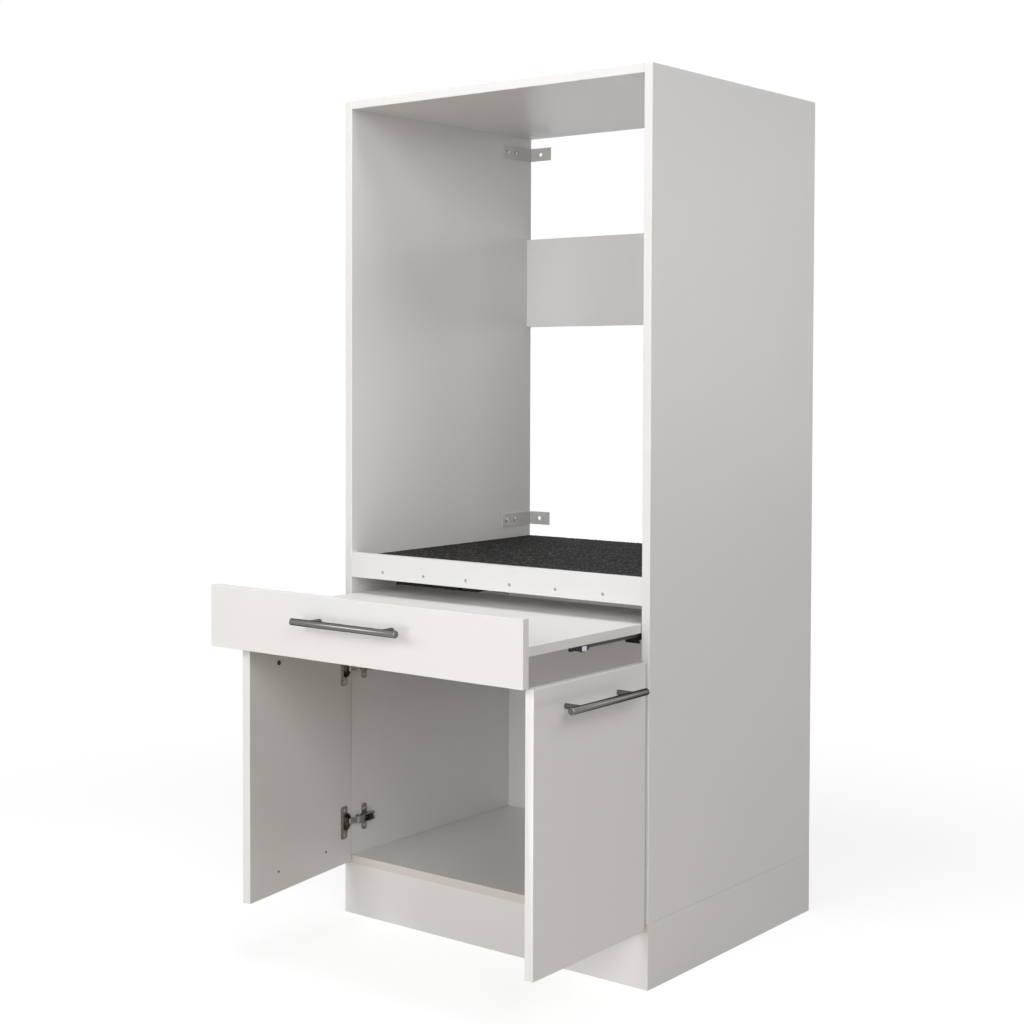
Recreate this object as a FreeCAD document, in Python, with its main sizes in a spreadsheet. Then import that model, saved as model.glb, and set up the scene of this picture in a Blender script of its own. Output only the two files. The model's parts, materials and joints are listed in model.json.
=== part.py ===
import FreeCAD, Part
import os
import re
import Sketcher
from FreeCAD import Placement, Rotation, Vector

# Washing machine cabinet: a plinth, a tall open bay for the machine on a matted platform,
# a pull-out board on telescopic slides under it, and a cupboard with two hinged doors.
# Frame: origin on the floor under the middle of the carcass, +X to the right, +Y to the wall, +Z up.
# The pull-out and the doors stand as they are shown: drawn out and opened.

# Driving dimensions, in millimetres and degrees
SIZES = (
    ("cabinet_width", 690, "outside width of the carcass"),
    ("cabinet_height", 1600, "height from the floor to the top"),
    ("cabinet_depth", 612, "depth of the carcass without doors"),
    ("board", 16, "thickness of the coated boards"),
    ("plinth_height", 100, "height of the plinth frame"),
    ("platform_underside", 668, "floor to the underside of the machine platform"),
    ("platform_thickness", 28, "thickness of the machine platform"),
    ("mat_thickness", 12, "thickness of the rubber granulate mat"),
    ("rail_height", 48, "height of the rail in front of the platform"),
    ("rail_screw_pitch", 100, "distance between the rail screws"),
    ("back_inset", 80, "rear edge to the front face of the cupboard back"),
    ("back_thickness", 3, "thickness of the cupboard back"),
    ("groove_depth", 6, "depth of the grooves that hold the cupboard back"),
    ("groove_play", 0.2, "clearance of the cupboard back in its grooves"),
    ("stretcher_drop", 238, "top of the cabinet to the upper edge of the rear stretcher"),
    ("stretcher_height", 192, "height of the rear stretcher"),
    ("strip_length", 150, "length of the buffer strip in the slot"),
    ("strip_width", 10, "depth of the buffer strip"),
    ("strip_height", 8.5, "height of the buffer strip"),
    ("strip_offset", 101, "left wall to the buffer strip"),
    ("front_thickness", 16, "thickness of the doors and the pull-out front"),
    ("front_gap", 3.5, "carcass edge to the back of a closed front"),
    ("edge_reveal", 1.5, "outer side of the carcass to the edge of a closed front"),
    ("meeting_gap", 3, "gap between neighbouring fronts"),
    ("door_bottom", 105, "floor to the lower edge of the doors"),
    ("door_height", 466, "height of the doors"),
    ("left_door_angle", 82, "opening angle of the left door as shown"),
    ("right_door_angle", 90.5, "opening angle of the right door as shown"),
    ("pullout_front_height", 112, "height of the pull-out front"),
    ("pullout_board_rise", 46, "lower edge of the front to the underside of its board"),
    ("pullout_board_length", 530, "depth of the pull-out board"),
    ("pullout_board_play", 2.5, "gap beside the pull-out board"),
    ("pullout_shown", 356, "travel of the pull-out as shown"),
    ("slide_length", 350, "length of each slide member"),
    ("slide_setback", 175, "front edge of the carcass to the slides"),
    ("slide_width", 20, "width of a slide's channels"),
    ("slide_offset", 8, "side panel to a slide's channels"),
    ("slide_gauge", 2, "sheet thickness of the slides"),
    ("slide_play", 0.35, "running clearance between slide members"),
    ("slide_neck", 8, "width of the neck between two members"),
    ("slide_drop", 6.5, "height of the drawer member's sides"),
    ("slide_flange", 22, "width of the drawer member's flange under the board"),
    ("catch_length", 56, "length of the catch on the drawer member"),
    ("catch_overlap", 19, "length of the catch that lies on the drawer member"),
    ("catch_width", 3, "thickness of the catch"),
    ("catch_height", 9, "height of the catch beside the drawer member"),
    ("catch_nose_height", 5, "height of the catch's nose"),
    ("catch_tab_length", 16, "length of the catch's tab"),
    ("catch_tab_drop", 16, "height of the catch with its tab"),
    ("handle_length", 232, "length of the handle bars"),
    ("handle_spacing", 160, "distance between the handle screws"),
    ("handle_bar_radius", 6, "radius of the handle bars"),
    ("handle_chamfer", 1, "chamfer at the ends of the handle bars"),
    ("handle_post_radius", 4.5, "radius of the handle posts"),
    ("handle_projection", 34, "front face to the middle of the bar"),
    ("handle_edge_distance", 38, "edge of a door to its handle holes"),
    ("pullout_handle_drop", 43, "upper edge of the pull-out front to its handle"),
    ("spare_hole_depth", 10, "depth of the spare handle holes"),
    ("handle_hole_radius", 2.2, "radius of the handle holes"),
    ("screw_radius", 2, "radius of the small screws"),
    ("screw_play", 0.05, "clearance round the small screws"),
    ("screw_head_radius", 4, "radius of the small screw heads"),
    ("screw_head_height", 2.4, "height of the small screw heads"),
    ("handle_screw_grip", 8, "length of a handle screw inside its post"),
    ("rail_screw_length", 50, "length of the rail screws"),
    ("rail_head_radius", 3, "radius of the rail screws' heads"),
    ("bracket_screw_length", 13, "length of the bracket screws"),
    ("plate_screw_length", 12, "length of the mounting plate screws"),
    ("bracket_wall_leg", 108, "length of a bracket along the side panel"),
    ("bracket_back_leg", 52, "length of a bracket along the wall"),
    ("bracket_height", 28, "height of a bracket"),
    ("bracket_gauge", 2.5, "sheet thickness of the brackets"),
    ("bracket_bend", 2.5, "inner radius of the bracket's bend"),
    ("bracket_first_hole", 63, "wall to the first screw of a bracket"),
    ("bracket_hole_pitch", 30, "distance between the screws of a bracket"),
    ("wall_hole_radius", 4.2, "radius of the hole for the wall fixing"),
    ("wall_hole_inset", 26, "side panel to the hole for the wall fixing"),
    ("bracket_drop", 51, "top of the cabinet to the middle of the upper brackets"),
    ("bracket_rise", 39, "mat to the middle of the lower brackets"),
    ("dowel_radius", 4, "radius of the wooden dowels"),
    ("dowel_length", 30, "length of the wooden dowels"),
    ("dowel_face_depth", 10, "length of a dowel in the face of a board"),
    ("dowel_play", 0.05, "clearance round the dowels and cams"),
    ("dowel_offset", 64, "distance from a cam to the dowel beside it"),
    ("corner_dowel_pitch", 40, "distance between the dowels of a plinth corner"),
    ("plinth_dowel_pitch", 400, "distance between the dowels under the bottom panel"),
    ("front_dowel_pitch", 250, "distance between the dowels of the pull-out front"),
    ("cam_radius", 7.5, "radius of the cam housings"),
    ("cam_depth", 12.7, "depth of the cam housings"),
    ("cam_distance", 34, "end of a panel to the middle of its cams"),
    ("cam_cap_radius", 8.5, "radius of the cam covers"),
    ("cam_cap_thickness", 1, "thickness of the cam covers"),
    ("cam_bolt_radius", 3, "radius of the cam bolts"),
    ("cam_bolt_face_depth", 11, "length of a cam bolt in the side panel"),
    ("cam_setback", 45, "edge of a panel to its cams"),
    ("base_screw_radius", 3.5, "radius of the screws through the bottom panel"),
    ("base_screw_length", 50, "length of the screws through the bottom panel"),
    ("base_head_radius", 5, "radius of their heads"),
    ("base_head_height", 4, "height of their heads"),
    ("base_screw_setback", 60, "edge of the bottom panel to the outer screws"),
    ("hinge_axis_inset", 10, "outer side of the carcass to the hinge axis"),
    ("hinge_axis_forward", 13.3, "front edge of the carcass to the hinge axis"),
    ("hinge_end_distance", 82, "end of a door to its hinges"),
    ("cup_edge_distance", 20.5, "edge of a door to the middle of a hinge cup"),
    ("cup_bore_radius", 17.5, "radius of the bore for a hinge cup"),
    ("cup_bore_depth", 13, "depth of the bore for a hinge cup"),
    ("cup_wall", 1, "wall of a hinge cup"),
    ("cup_floor", 0.75, "floor of a hinge cup"),
    ("cup_play", 0.05, "clearance of a hinge cup in its bore"),
    ("flange_thickness", 1.2, "thickness of a cup's flange"),
    ("flange_length", 64, "length of a cup's flange along the door edge"),
    ("flange_width", 23, "width of a cup's flange"),
    ("flange_rim", 1, "width of the rim round a cup"),
    ("flange_cover", 9, "width of the flange beside the opening of a cup"),
    ("flange_corner", 5, "radius of a flange's corners"),
    ("arm_offset", 12, "hinge axis to the hinge arm"),
    ("arm_thickness", 4, "thickness of the hinge arm"),
    ("arm_foot_width", 10, "width of the arm inside the cup"),
    ("arm_width", 16, "width of the arm on the mounting plate"),
    ("arm_shoulder", 2.5, "radius of the arm's front corners"),
    ("arm_corner", 4, "radius of the arm's rear corners"),
    ("arm_bend", 4, "radius of the arm's bend"),
    ("arm_slot_radius", 3, "half the width of the slot in the arm's rear end"),
    ("arm_slot_length", 10, "rear end of the arm to the middle of its slot's round end"),
    ("foot_thickness", 3, "thickness of the arm's foot"),
    ("eye_radius", 1.7, "outer radius of the arm's eye"),
    ("pin_radius", 1, "radius of the hinge pin"),
    ("pin_play", 0.05, "running clearance of the pin in the eye"),
    ("pin_seat_play", 0.02, "clearance of the pin in its lugs"),
    ("pin_length", 17.6, "length of the hinge pin"),
    ("lug_gap", 0.4, "gap between the arm's foot and a lug"),
    ("lug_thickness", 3.4, "thickness of a lug that holds the pin"),
    ("lug_reach", 2.2, "hinge axis to the outer edges of a lug"),
    ("plate_setback", 37, "front edge of the carcass to the mounting plate's screws"),
    ("plate_length", 48, "length of the mounting plate"),
    ("plate_body_width", 13, "width of the mounting plate's body"),
    ("plate_wing_span", 52, "length of the mounting plate's wings"),
    ("plate_wing_width", 14, "width of the mounting plate's wings"),
    ("plate_wing_thickness", 2.5, "thickness of the mounting plate's wings"),
    ("plate_corner", 5, "radius of the corners of the mounting plate's wings"),
    ("plate_screw_pitch", 32, "distance between the mounting plate's screws"),
)
TOUCH = 0.001
RAIL_SCREWS = 6
BASE_SCREWS = 3
SIDES = (("left", -1), ("right", 1))
X_AXIS, Y_AXIS, Z_AXIS = range(3)

# Places that many pieces share
FRONT = "(-cabinet_depth / 2)"
BACK = "(cabinet_depth / 2)"
OUTER = "(cabinet_width / 2)"
INNER = "(cabinet_width / 2 - board)"
BOTTOM_TOP = "(plinth_height + board)"
PLATFORM_TOP = "(platform_underside + platform_thickness)"
MAT_TOP = f"({PLATFORM_TOP} + mat_thickness)"
BACK_FACE = f"({BACK} - back_inset)"
DOOR_TOP = "(door_bottom + door_height)"
DOOR_WIDTH = "((cabinet_width - meeting_gap) / 2 - edge_reveal)"
DOOR_EDGE = "(edge_reveal - hinge_axis_inset)"
DOOR_BACK = "(hinge_axis_forward - front_gap)"
DOOR_FACE = f"({DOOR_BACK} - front_thickness)"
CUP_MIDDLE = f"({DOOR_EDGE} + cup_edge_distance)"
PULLOUT_BOTTOM = f"({DOOR_TOP} + meeting_gap)"
PULLOUT_BACK = f"({FRONT} - front_gap - pullout_shown)"
PULLOUT_FACE = f"({PULLOUT_BACK} - front_thickness)"
PULLOUT_UNDERSIDE = f"({PULLOUT_BOTTOM} + pullout_board_rise)"
SLIDE_MIDDLE = f"({INNER} - slide_offset - slide_width / 2)"
SLIDE_REAR = f"({FRONT} + slide_setback + slide_length)"
STRETCHER_TOP = "(cabinet_height - stretcher_drop)"
STRETCHER_BOTTOM = f"({STRETCHER_TOP} - stretcher_height)"

TURNS = {
    "+x": Rotation(Vector(0, 1, 0), 90),
    "-x": Rotation(Vector(0, 1, 0), -90),
    "+y": Rotation(Vector(1, 0, 0), -90),
    "-y": Rotation(Vector(1, 0, 0), 90),
    "+z": Rotation(),
    "-z": Rotation(Vector(1, 0, 0), 180),
}
OPPOSITE = {"+x": "-x", "-x": "+x", "+y": "-y", "-y": "+y", "+z": "-z", "-z": "+z"}

doc = FreeCAD.newDocument("washing_machine_cabinet")
sheet = doc.addObject("Spreadsheet::Sheet", "Sizes")
for row, (alias, value, note) in enumerate(SIZES, start=1):
    sheet.set(f"A{row}", note)
    sheet.set(f"B{row}", str(value))
    sheet.setAlias(f"B{row}", alias)
doc.recompute()
ALIASES = {alias for alias, value, note in SIZES}

parts = {}
blanks = {}
cuts = {}
dowels = []
cam_locks = []
cam_bolts = []


def sized(text):
    """Point every size named in an expression to its cell."""
    return re.sub(r"[a-z_]+", lambda word: f"Sizes.{word[0]}" if word[0] in ALIASES else word[0], text)


def value_of(text):
    """Work out an expression for a sketch's first guess."""
    return float(sheet.evalExpression(sized(text)))


def bind(item, sizes):
    """Bind an object's properties to expressions of the sheet."""
    for name, text in sizes.items():
        item.setExpression(name, sized(text))


def place(item, x="0", y="0", z="0"):
    """Bind an object's position."""
    bind(item, {"Placement.Base.x": x, "Placement.Base.y": y, "Placement.Base.z": z})


def keep(label, item):
    """Register a finished piece under its own name."""
    item.Label = label
    parts[label] = item
    return item


def box(x, y, z, length, width, height):
    """Make a block from its low corner and its three sizes."""
    item = doc.addObject("Part::Box", "Block")
    bind(item, {"Length": length, "Width": width, "Height": height})
    place(item, x, y, z)
    return item


def rod(way, x, y, z, radius, length):
    """Make a round rod that starts at a point and runs one way."""
    item = doc.addObject("Part::Cylinder", "Rod")
    item.Placement = Placement(Vector(), TURNS[way])
    bind(item, {"Radius": radius, "Height": length})
    place(item, x, y, z)
    return item


def cone(way, x, y, z, radius, end_radius, length):
    """Make a tapered rod that starts at a point and runs one way."""
    item = doc.addObject("Part::Cone", "Taper")
    item.Placement = Placement(Vector(), TURNS[way])
    bind(item, {"Radius1": radius, "Radius2": end_radius, "Height": length})
    place(item, x, y, z)
    return item


def compound(items):
    """Hold several solids as one object."""
    item = doc.addObject("Part::Compound", "Group")
    item.Links = items
    return item


def fused(items):
    """Join solids that are one piece."""
    item = doc.addObject("Part::MultiFuse", "Joined")
    item.Shapes = items
    return item


def cut(base, tools):
    """Take tools out of a solid."""
    item = doc.addObject("Part::Cut", "Drilled")
    item.Base = base
    item.Tool = tools[0] if len(tools) == 1 else compound(tools)
    return item


def span(sign, near, width):
    """Give the low end of a stretch that runs outwards from the middle on one side."""
    return f"({near})" if sign > 0 else f"(-({near}) - ({width}))"


def moved(point, way, distance):
    """Move a point along a way."""
    axis = "xyz".index(way[1])
    shifted = list(point)
    shifted[axis] = f"({point[axis]} {way[0]} ({distance}))"
    return tuple(shifted)


def blank(name, *place_and_size):
    """Start a board that may be drilled later."""
    blanks[name] = box(*place_and_size)
    cuts[name] = []


def bore(name, way, point, radius, depth):
    """Drill a board from a point on its face."""
    cuts[name].append(rod(way, *point, radius, depth))


def dowel(way, face_board, end_board, point, store=dowels):
    """Set a dowel across a joint, from the face of one board into the end of another."""
    hole = "dowel_radius + dowel_play"
    start = moved(point, OPPOSITE[way], "dowel_face_depth")
    store.append(rod(way, *start, "dowel_radius", "dowel_length"))
    bore(face_board, OPPOSITE[way], point, hole, "dowel_face_depth + dowel_play")
    bore(end_board, way, point, hole, "dowel_length - dowel_face_depth + dowel_play")


def cam(way, face, side_board, panel, point):
    """Set a cam in the face of a panel and its bolt in the side board."""
    on_face = moved(moved(point, way, "cam_distance"), face, "board / 2")
    inwards = OPPOSITE[face]
    housing = rod(inwards, *on_face, "cam_radius", "cam_depth")
    cover = rod(face, *on_face, "cam_cap_radius", "cam_cap_thickness")
    cam_locks.append(fused([housing, cover]))
    start = moved(point, OPPOSITE[way], "cam_bolt_face_depth")
    cam_bolts.append(rod(way, *start, "cam_bolt_radius", "cam_bolt_face_depth + cam_distance - cam_radius"))
    hole = "cam_bolt_radius + dowel_play"
    bore(side_board, OPPOSITE[way], point, hole, "cam_bolt_face_depth + dowel_play")
    bore(panel, way, point, hole, "cam_distance")
    bore(panel, inwards, on_face, "cam_radius + dowel_play", "cam_depth + dowel_play")


def screw(way, seat, radius, length, head_radius="screw_head_radius", head_height="screw_head_height"):
    """Make a screw whose head lies on its seat and whose shank runs one way."""
    head = rod(OPPOSITE[way], *seat, head_radius, head_height)
    shank = rod(way, *seat, radius, length)
    return fused([head, shank])


def body(name):
    """Start a body that is built from sketches."""
    return doc.addObject("PartDesign::Body", name)


def sketch(item, role, lift, polygons=(), circles=()):
    """Draw closed outlines and circles on one of a body's planes, bound to the sheet."""
    drawing = item.newObject("Sketcher::SketchObject", "Outline")
    plane = next(feature for feature in item.Origin.OriginFeatures if feature.Role == role)
    drawing.AttachmentSupport = (plane, [""])
    drawing.MapMode = "FlatFace"
    bind(drawing, {"AttachmentOffset.Base.z": lift})
    for corners in polygons:
        first = drawing.GeometryCount
        spots = [Vector(value_of(x), value_of(y), 0) for x, y in corners]
        for index, spot in enumerate(spots):
            drawing.addGeometry(Part.LineSegment(spot, spots[(index + 1) % len(spots)]))
        for index, (x, y) in enumerate(corners):
            line = first + index
            following = first + (index + 1) % len(corners)
            drawing.addConstraint(Sketcher.Constraint("Coincident", line, 2, following, 1))
            anchor(drawing, line, 1, x, y)
    for x, y, radius in circles:
        middle = Vector(value_of(x), value_of(y), 0)
        ring = drawing.addGeometry(Part.Circle(middle, Vector(0, 0, 1), value_of(radius)))
        anchor(drawing, ring, 3, x, y)
        size = drawing.addConstraint(Sketcher.Constraint("Radius", ring, value_of(radius)))
        bind(drawing, {f"Constraints[{size}]": radius})
    return drawing


def anchor(drawing, line, end, x, y):
    """Dimension a point of a sketch from the sketch's origin."""
    for kind, text in (("DistanceX", x), ("DistanceY", y)):
        index = drawing.addConstraint(Sketcher.Constraint(kind, -1, 1, line, end, value_of(text)))
        bind(drawing, {f"Constraints[{index}]": text})


def pad(item, drawing, length, both_ways=False):
    """Raise a sketch into a solid."""
    feature = item.newObject("PartDesign::Pad", "Pad")
    feature.Profile = drawing
    feature.SideType = "Symmetric" if both_ways else "One side"
    bind(feature, {"Length": length})
    drawing.Visibility = False
    return feature


def round_edges(item, feature, axis, spots, radius):
    """Round the edges of a body that run along one axis, each given by its two other coordinates."""
    doc.recompute()
    others = [index for index in range(3) if index != axis]
    wanted = [Vector(value_of(first), value_of(second), 0) for first, second in spots]
    names = []
    for number, edge in enumerate(feature.Shape.Edges, start=1):
        ends = [Vector(*(corner.Point[index] for index in others), 0) for corner in edge.Vertexes]
        if any(all(spot.distanceToPoint(end) < TOUCH for end in ends) for spot in wanted):
            names.append(f"Edge{number}")
    rounding = item.newObject("PartDesign::Fillet", "Rounding")
    rounding.Base = (feature, names)
    bind(rounding, {"Radius": radius})
    return rounding


def rectangle(x0, y0, x1, y1):
    """Give the corners of a rectangle."""
    return ((x0, y0), (x1, y0), (x1, y1), (x0, y1))


def hang(item, side, sign, z="0", opened=True):
    """Put a piece that was drawn about the hinge axis in its place on a door or beside it."""
    item.Placement = Placement(Vector(), Rotation(Vector(0, 0, 1), 1 if opened else 0))
    place(item, f"{sign} * ({OUTER} - hinge_axis_inset)", f"{FRONT} - hinge_axis_forward", z)
    if opened:
        bind(item, {"Placement.Rotation.Angle": f"{sign} * {side}_door_angle"})


def draw_plinth():
    """Plinth frame: a front board across the side boards, a rear board and a brace between them."""
    blank("plinth_front", f"-{OUTER}", FRONT, "0", "cabinet_width", "board", "plinth_height")
    side_length = "cabinet_depth - board"
    for side, sign in SIDES:
        low = span(sign, INNER, "board")
        blank(f"plinth_{side}", low, f"{FRONT} + board", "0", "board", side_length, "plinth_height")
    blank("plinth_rear", f"-{INNER}", f"{BACK} - board", "0", f"2 * {INNER}", "board", "plinth_height")
    brace_length = "cabinet_depth - 2 * board"
    blank("plinth_brace", "-board / 2", f"{FRONT} + board", "0", "board", brace_length, "plinth_height")
    middle = "plinth_height / 2"
    behind_front = f"{FRONT} + board"
    for side, sign in SIDES:
        inwards = "-x" if sign > 0 else "+x"
        for level in ("-", "+"):
            height = f"{middle} {level} corner_dowel_pitch / 2"
            outer = f"{sign} * ({OUTER} - board / 2)"
            dowel("+y", "plinth_front", f"plinth_{side}", (outer, behind_front, height))
            corner = (f"{sign} * {INNER}", f"{BACK} - board / 2", height)
            dowel(inwards, f"plinth_{side}", "plinth_rear", corner)
    dowel("+y", "plinth_front", "plinth_brace", ("0", behind_front, middle))
    dowel("-y", "plinth_rear", "plinth_brace", ("0", f"{BACK} - board", middle))


def draw_carcass():
    """Bottom panel, side panels, top panel and rear stretcher."""
    blank("bottom_panel", f"-{OUTER}", FRONT, "plinth_height", "cabinet_width", "cabinet_depth", "board")
    side_height = f"cabinet_height - {BOTTOM_TOP}"
    for side, sign in SIDES:
        low = span(sign, INNER, "board")
        blank(f"{side}_side_panel", low, FRONT, BOTTOM_TOP, "board", "cabinet_depth", side_height)
    blank("top_panel", f"-{INNER}", FRONT, "cabinet_height - board", f"2 * {INNER}", "cabinet_depth", "board")
    stretcher_face = f"{BACK} - board"
    blank("rear_stretcher", f"-{INNER}", stretcher_face, STRETCHER_BOTTOM, f"2 * {INNER}", "board",
          "stretcher_height")
    for sign in (-1, 1):
        across = f"{sign} * plinth_dowel_pitch / 2"
        dowel("-z", "bottom_panel", "plinth_front", (across, f"{FRONT} + board / 2", "plinth_height"))
        dowel("-z", "bottom_panel", "plinth_rear", (across, f"{BACK} - board / 2", "plinth_height"))


def join_carcass():
    """Cams, dowels and screws that hold the panels to the sides."""
    base_screws = []
    for side, sign in SIDES:
        inwards = "-x" if sign > 0 else "+x"
        panel = f"{side}_side_panel"
        at_wall = f"{sign} * {INNER}"
        under_top = "cabinet_height - board / 2"
        in_platform = "platform_underside + board / 2"
        for edge, step in ((FRONT, "+"), (BACK, "-")):
            beside_edge = f"{edge} {step} cam_setback"
            beside_cam = f"{beside_edge} {step} dowel_offset"
            cam(inwards, "-z", panel, "top_panel", (at_wall, beside_edge, under_top))
            dowel(inwards, panel, "top_panel", (at_wall, beside_cam, under_top))
            cam(inwards, "-z", panel, "platform_board", (at_wall, f"{beside_edge} {step} board", in_platform))
            dowel(inwards, panel, "platform_board", (at_wall, f"{beside_cam} {step} board", in_platform))
        in_stretcher = f"{BACK} - board / 2"
        for level in (f"{STRETCHER_BOTTOM} + cam_setback", f"{STRETCHER_TOP} - cam_setback"):
            cam(inwards, "+y", panel, "rear_stretcher", (at_wall, in_stretcher, level))
        stretcher_middle = f"{STRETCHER_BOTTOM} + stretcher_height / 2"
        dowel(inwards, panel, "rear_stretcher", (at_wall, in_stretcher, stretcher_middle))
        reach = "cabinet_depth / 2 - base_screw_setback"
        for number in range(BASE_SCREWS):
            along = f"{number - 1} * ({reach})"
            seat = (f"{sign} * ({OUTER} - board / 2)", along, "plinth_height + base_head_height")
            head = ("base_head_radius", "base_head_height")
            base_screws.append(screw("+z", seat, "base_screw_radius", "base_screw_length", *head))
            hole = "base_screw_radius + screw_play"
            bore("bottom_panel", "-z", seat, "base_head_radius + screw_play", "base_head_height")
            bore("bottom_panel", "+z", seat, hole, "board")
            bore(panel, "+z", seat, hole, "base_screw_length + screw_play")
    keep("base_screws", compound(base_screws))


def draw_platform():
    """Machine platform with its screwed front rail, mat and buffer strip."""
    width = f"2 * {INNER}"
    behind_rail = f"({FRONT} + board)"
    depth = "cabinet_depth - board"
    level = "platform_underside"
    blank("platform_board", f"-{INNER}", behind_rail, level, width, depth, "platform_thickness")
    blank("platform_front_rail", f"-{INNER}", FRONT, level, width, "board", "rail_height")
    keep("anti_vibration_mat", box(f"-{INNER}", behind_rail, PLATFORM_TOP, width, depth, "mat_thickness"))
    strip_corner = (f"-{INNER} + strip_offset", behind_rail, "platform_underside - strip_height")
    strip = box(*strip_corner, "strip_length", "strip_width", "strip_height")
    keep("slot_buffer_strip", strip)
    screws = []
    middle = "platform_underside + platform_thickness / 2"
    for number in range(RAIL_SCREWS):
        across = f"{number - (RAIL_SCREWS - 1) / 2} * rail_screw_pitch"
        seat = (across, f"{FRONT} + screw_head_height", middle)
        screws.append(screw("+y", seat, "screw_radius", "rail_screw_length", "rail_head_radius"))
        bore("platform_front_rail", "-y", seat, "rail_head_radius + screw_play", "screw_head_height")
        bore("platform_front_rail", "+y", seat, "screw_radius + screw_play", "board")
        bore("platform_board", "+y", seat, "screw_radius + screw_play", "rail_screw_length + screw_play")
    keep("rail_screws", compound(screws))


def draw_cupboard_back():
    """Thin cupboard back, held in grooves of the sides and the bottom."""
    groove_face = f"{BACK_FACE} - groove_play"
    groove_width = "back_thickness + 2 * groove_play"
    groove_floor = f"{BOTTOM_TOP} - groove_depth"
    for side, sign in SIDES:
        low = span(sign, INNER, "groove_depth")
        height = f"platform_underside - {BOTTOM_TOP}"
        groove = box(low, groove_face, BOTTOM_TOP, "groove_depth", groove_width, height)
        cuts[f"{side}_side_panel"].append(groove)
    groove = box(f"-{INNER}", groove_face, groove_floor, f"2 * {INNER}", groove_width, "groove_depth")
    cuts["bottom_panel"].append(groove)
    half = f"({INNER} + groove_depth - groove_play)"
    tongue = "(groove_depth - groove_play)"
    lower = box(f"-{INNER}", BACK_FACE, f"{BOTTOM_TOP} - {tongue}", f"2 * {INNER}", "back_thickness", tongue)
    upper = box(f"-{half}", BACK_FACE, BOTTOM_TOP, f"2 * {half}", "back_thickness",
                f"platform_underside - {BOTTOM_TOP}")
    keep("cupboard_back_panel", fused([lower, upper]))


def draw_brackets():
    """Four bent wall brackets, each on two screws in the side panel."""
    screws = []
    levels = (("upper", "cabinet_height - bracket_drop"), ("lower", f"{MAT_TOP} + bracket_rise"))
    for level, middle in levels:
        for side, sign in SIDES:
            bracket = body(f"Bracket_{level}_{side}")
            corners = [("0", "0"), ("bracket_back_leg", "0"), ("bracket_back_leg", "-bracket_gauge"),
                       ("bracket_gauge", "-bracket_gauge"), ("bracket_gauge", "-bracket_wall_leg"),
                       ("0", "-bracket_wall_leg")]
            outline = [(f"{-sign} * ({x})", y) for x, y in corners]
            section = sketch(bracket, "XY_Plane", "0", [outline])
            angle = pad(bracket, section, "bracket_height", both_ways=True)
            inside = (f"{-sign} * bracket_gauge", "-bracket_gauge")
            angle = round_edges(bracket, angle, Z_AXIS, [inside], "bracket_bend")
            round_edges(bracket, angle, Z_AXIS, [("0", "0")], "bracket_bend + bracket_gauge")
            wall = f"{sign} * {INNER}"
            place(bracket, wall, BACK, middle)
            inwards = "-x" if sign > 0 else "+x"
            outwards = OPPOSITE[inwards]
            hole = "screw_radius + screw_play"
            tools = []
            for number in range(2):
                along = f"{BACK} - bracket_first_hole - {number} * bracket_hole_pitch"
                on_wall = (wall, along, middle)
                seat = moved(on_wall, inwards, "bracket_gauge")
                screws.append(screw(outwards, seat, "screw_radius", "bracket_gauge + bracket_screw_length"))
                tools.append(rod(outwards, *seat, hole, "bracket_gauge"))
                bore(f"{side}_side_panel", outwards, on_wall, hole, "bracket_screw_length + screw_play")
            eye = moved((wall, BACK, middle), inwards, "wall_hole_inset")
            tools.append(rod("-y", *eye, "wall_hole_radius", "bracket_gauge"))
            keep(f"{level}_{side}_wall_bracket", cut(bracket, tools))
    keep("bracket_screws", compound(screws))


def under(gauges, plays):
    """Give a level of a slide's section, counted down from the board in sheets and clearances."""
    return f"-({gauges} * slide_gauge + {plays} * slide_play)"


def both_halves(outline):
    """Close an outline with the mirror image of its first half."""
    return outline + [(f"-{across}", up) for across, up in reversed(outline)]


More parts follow.
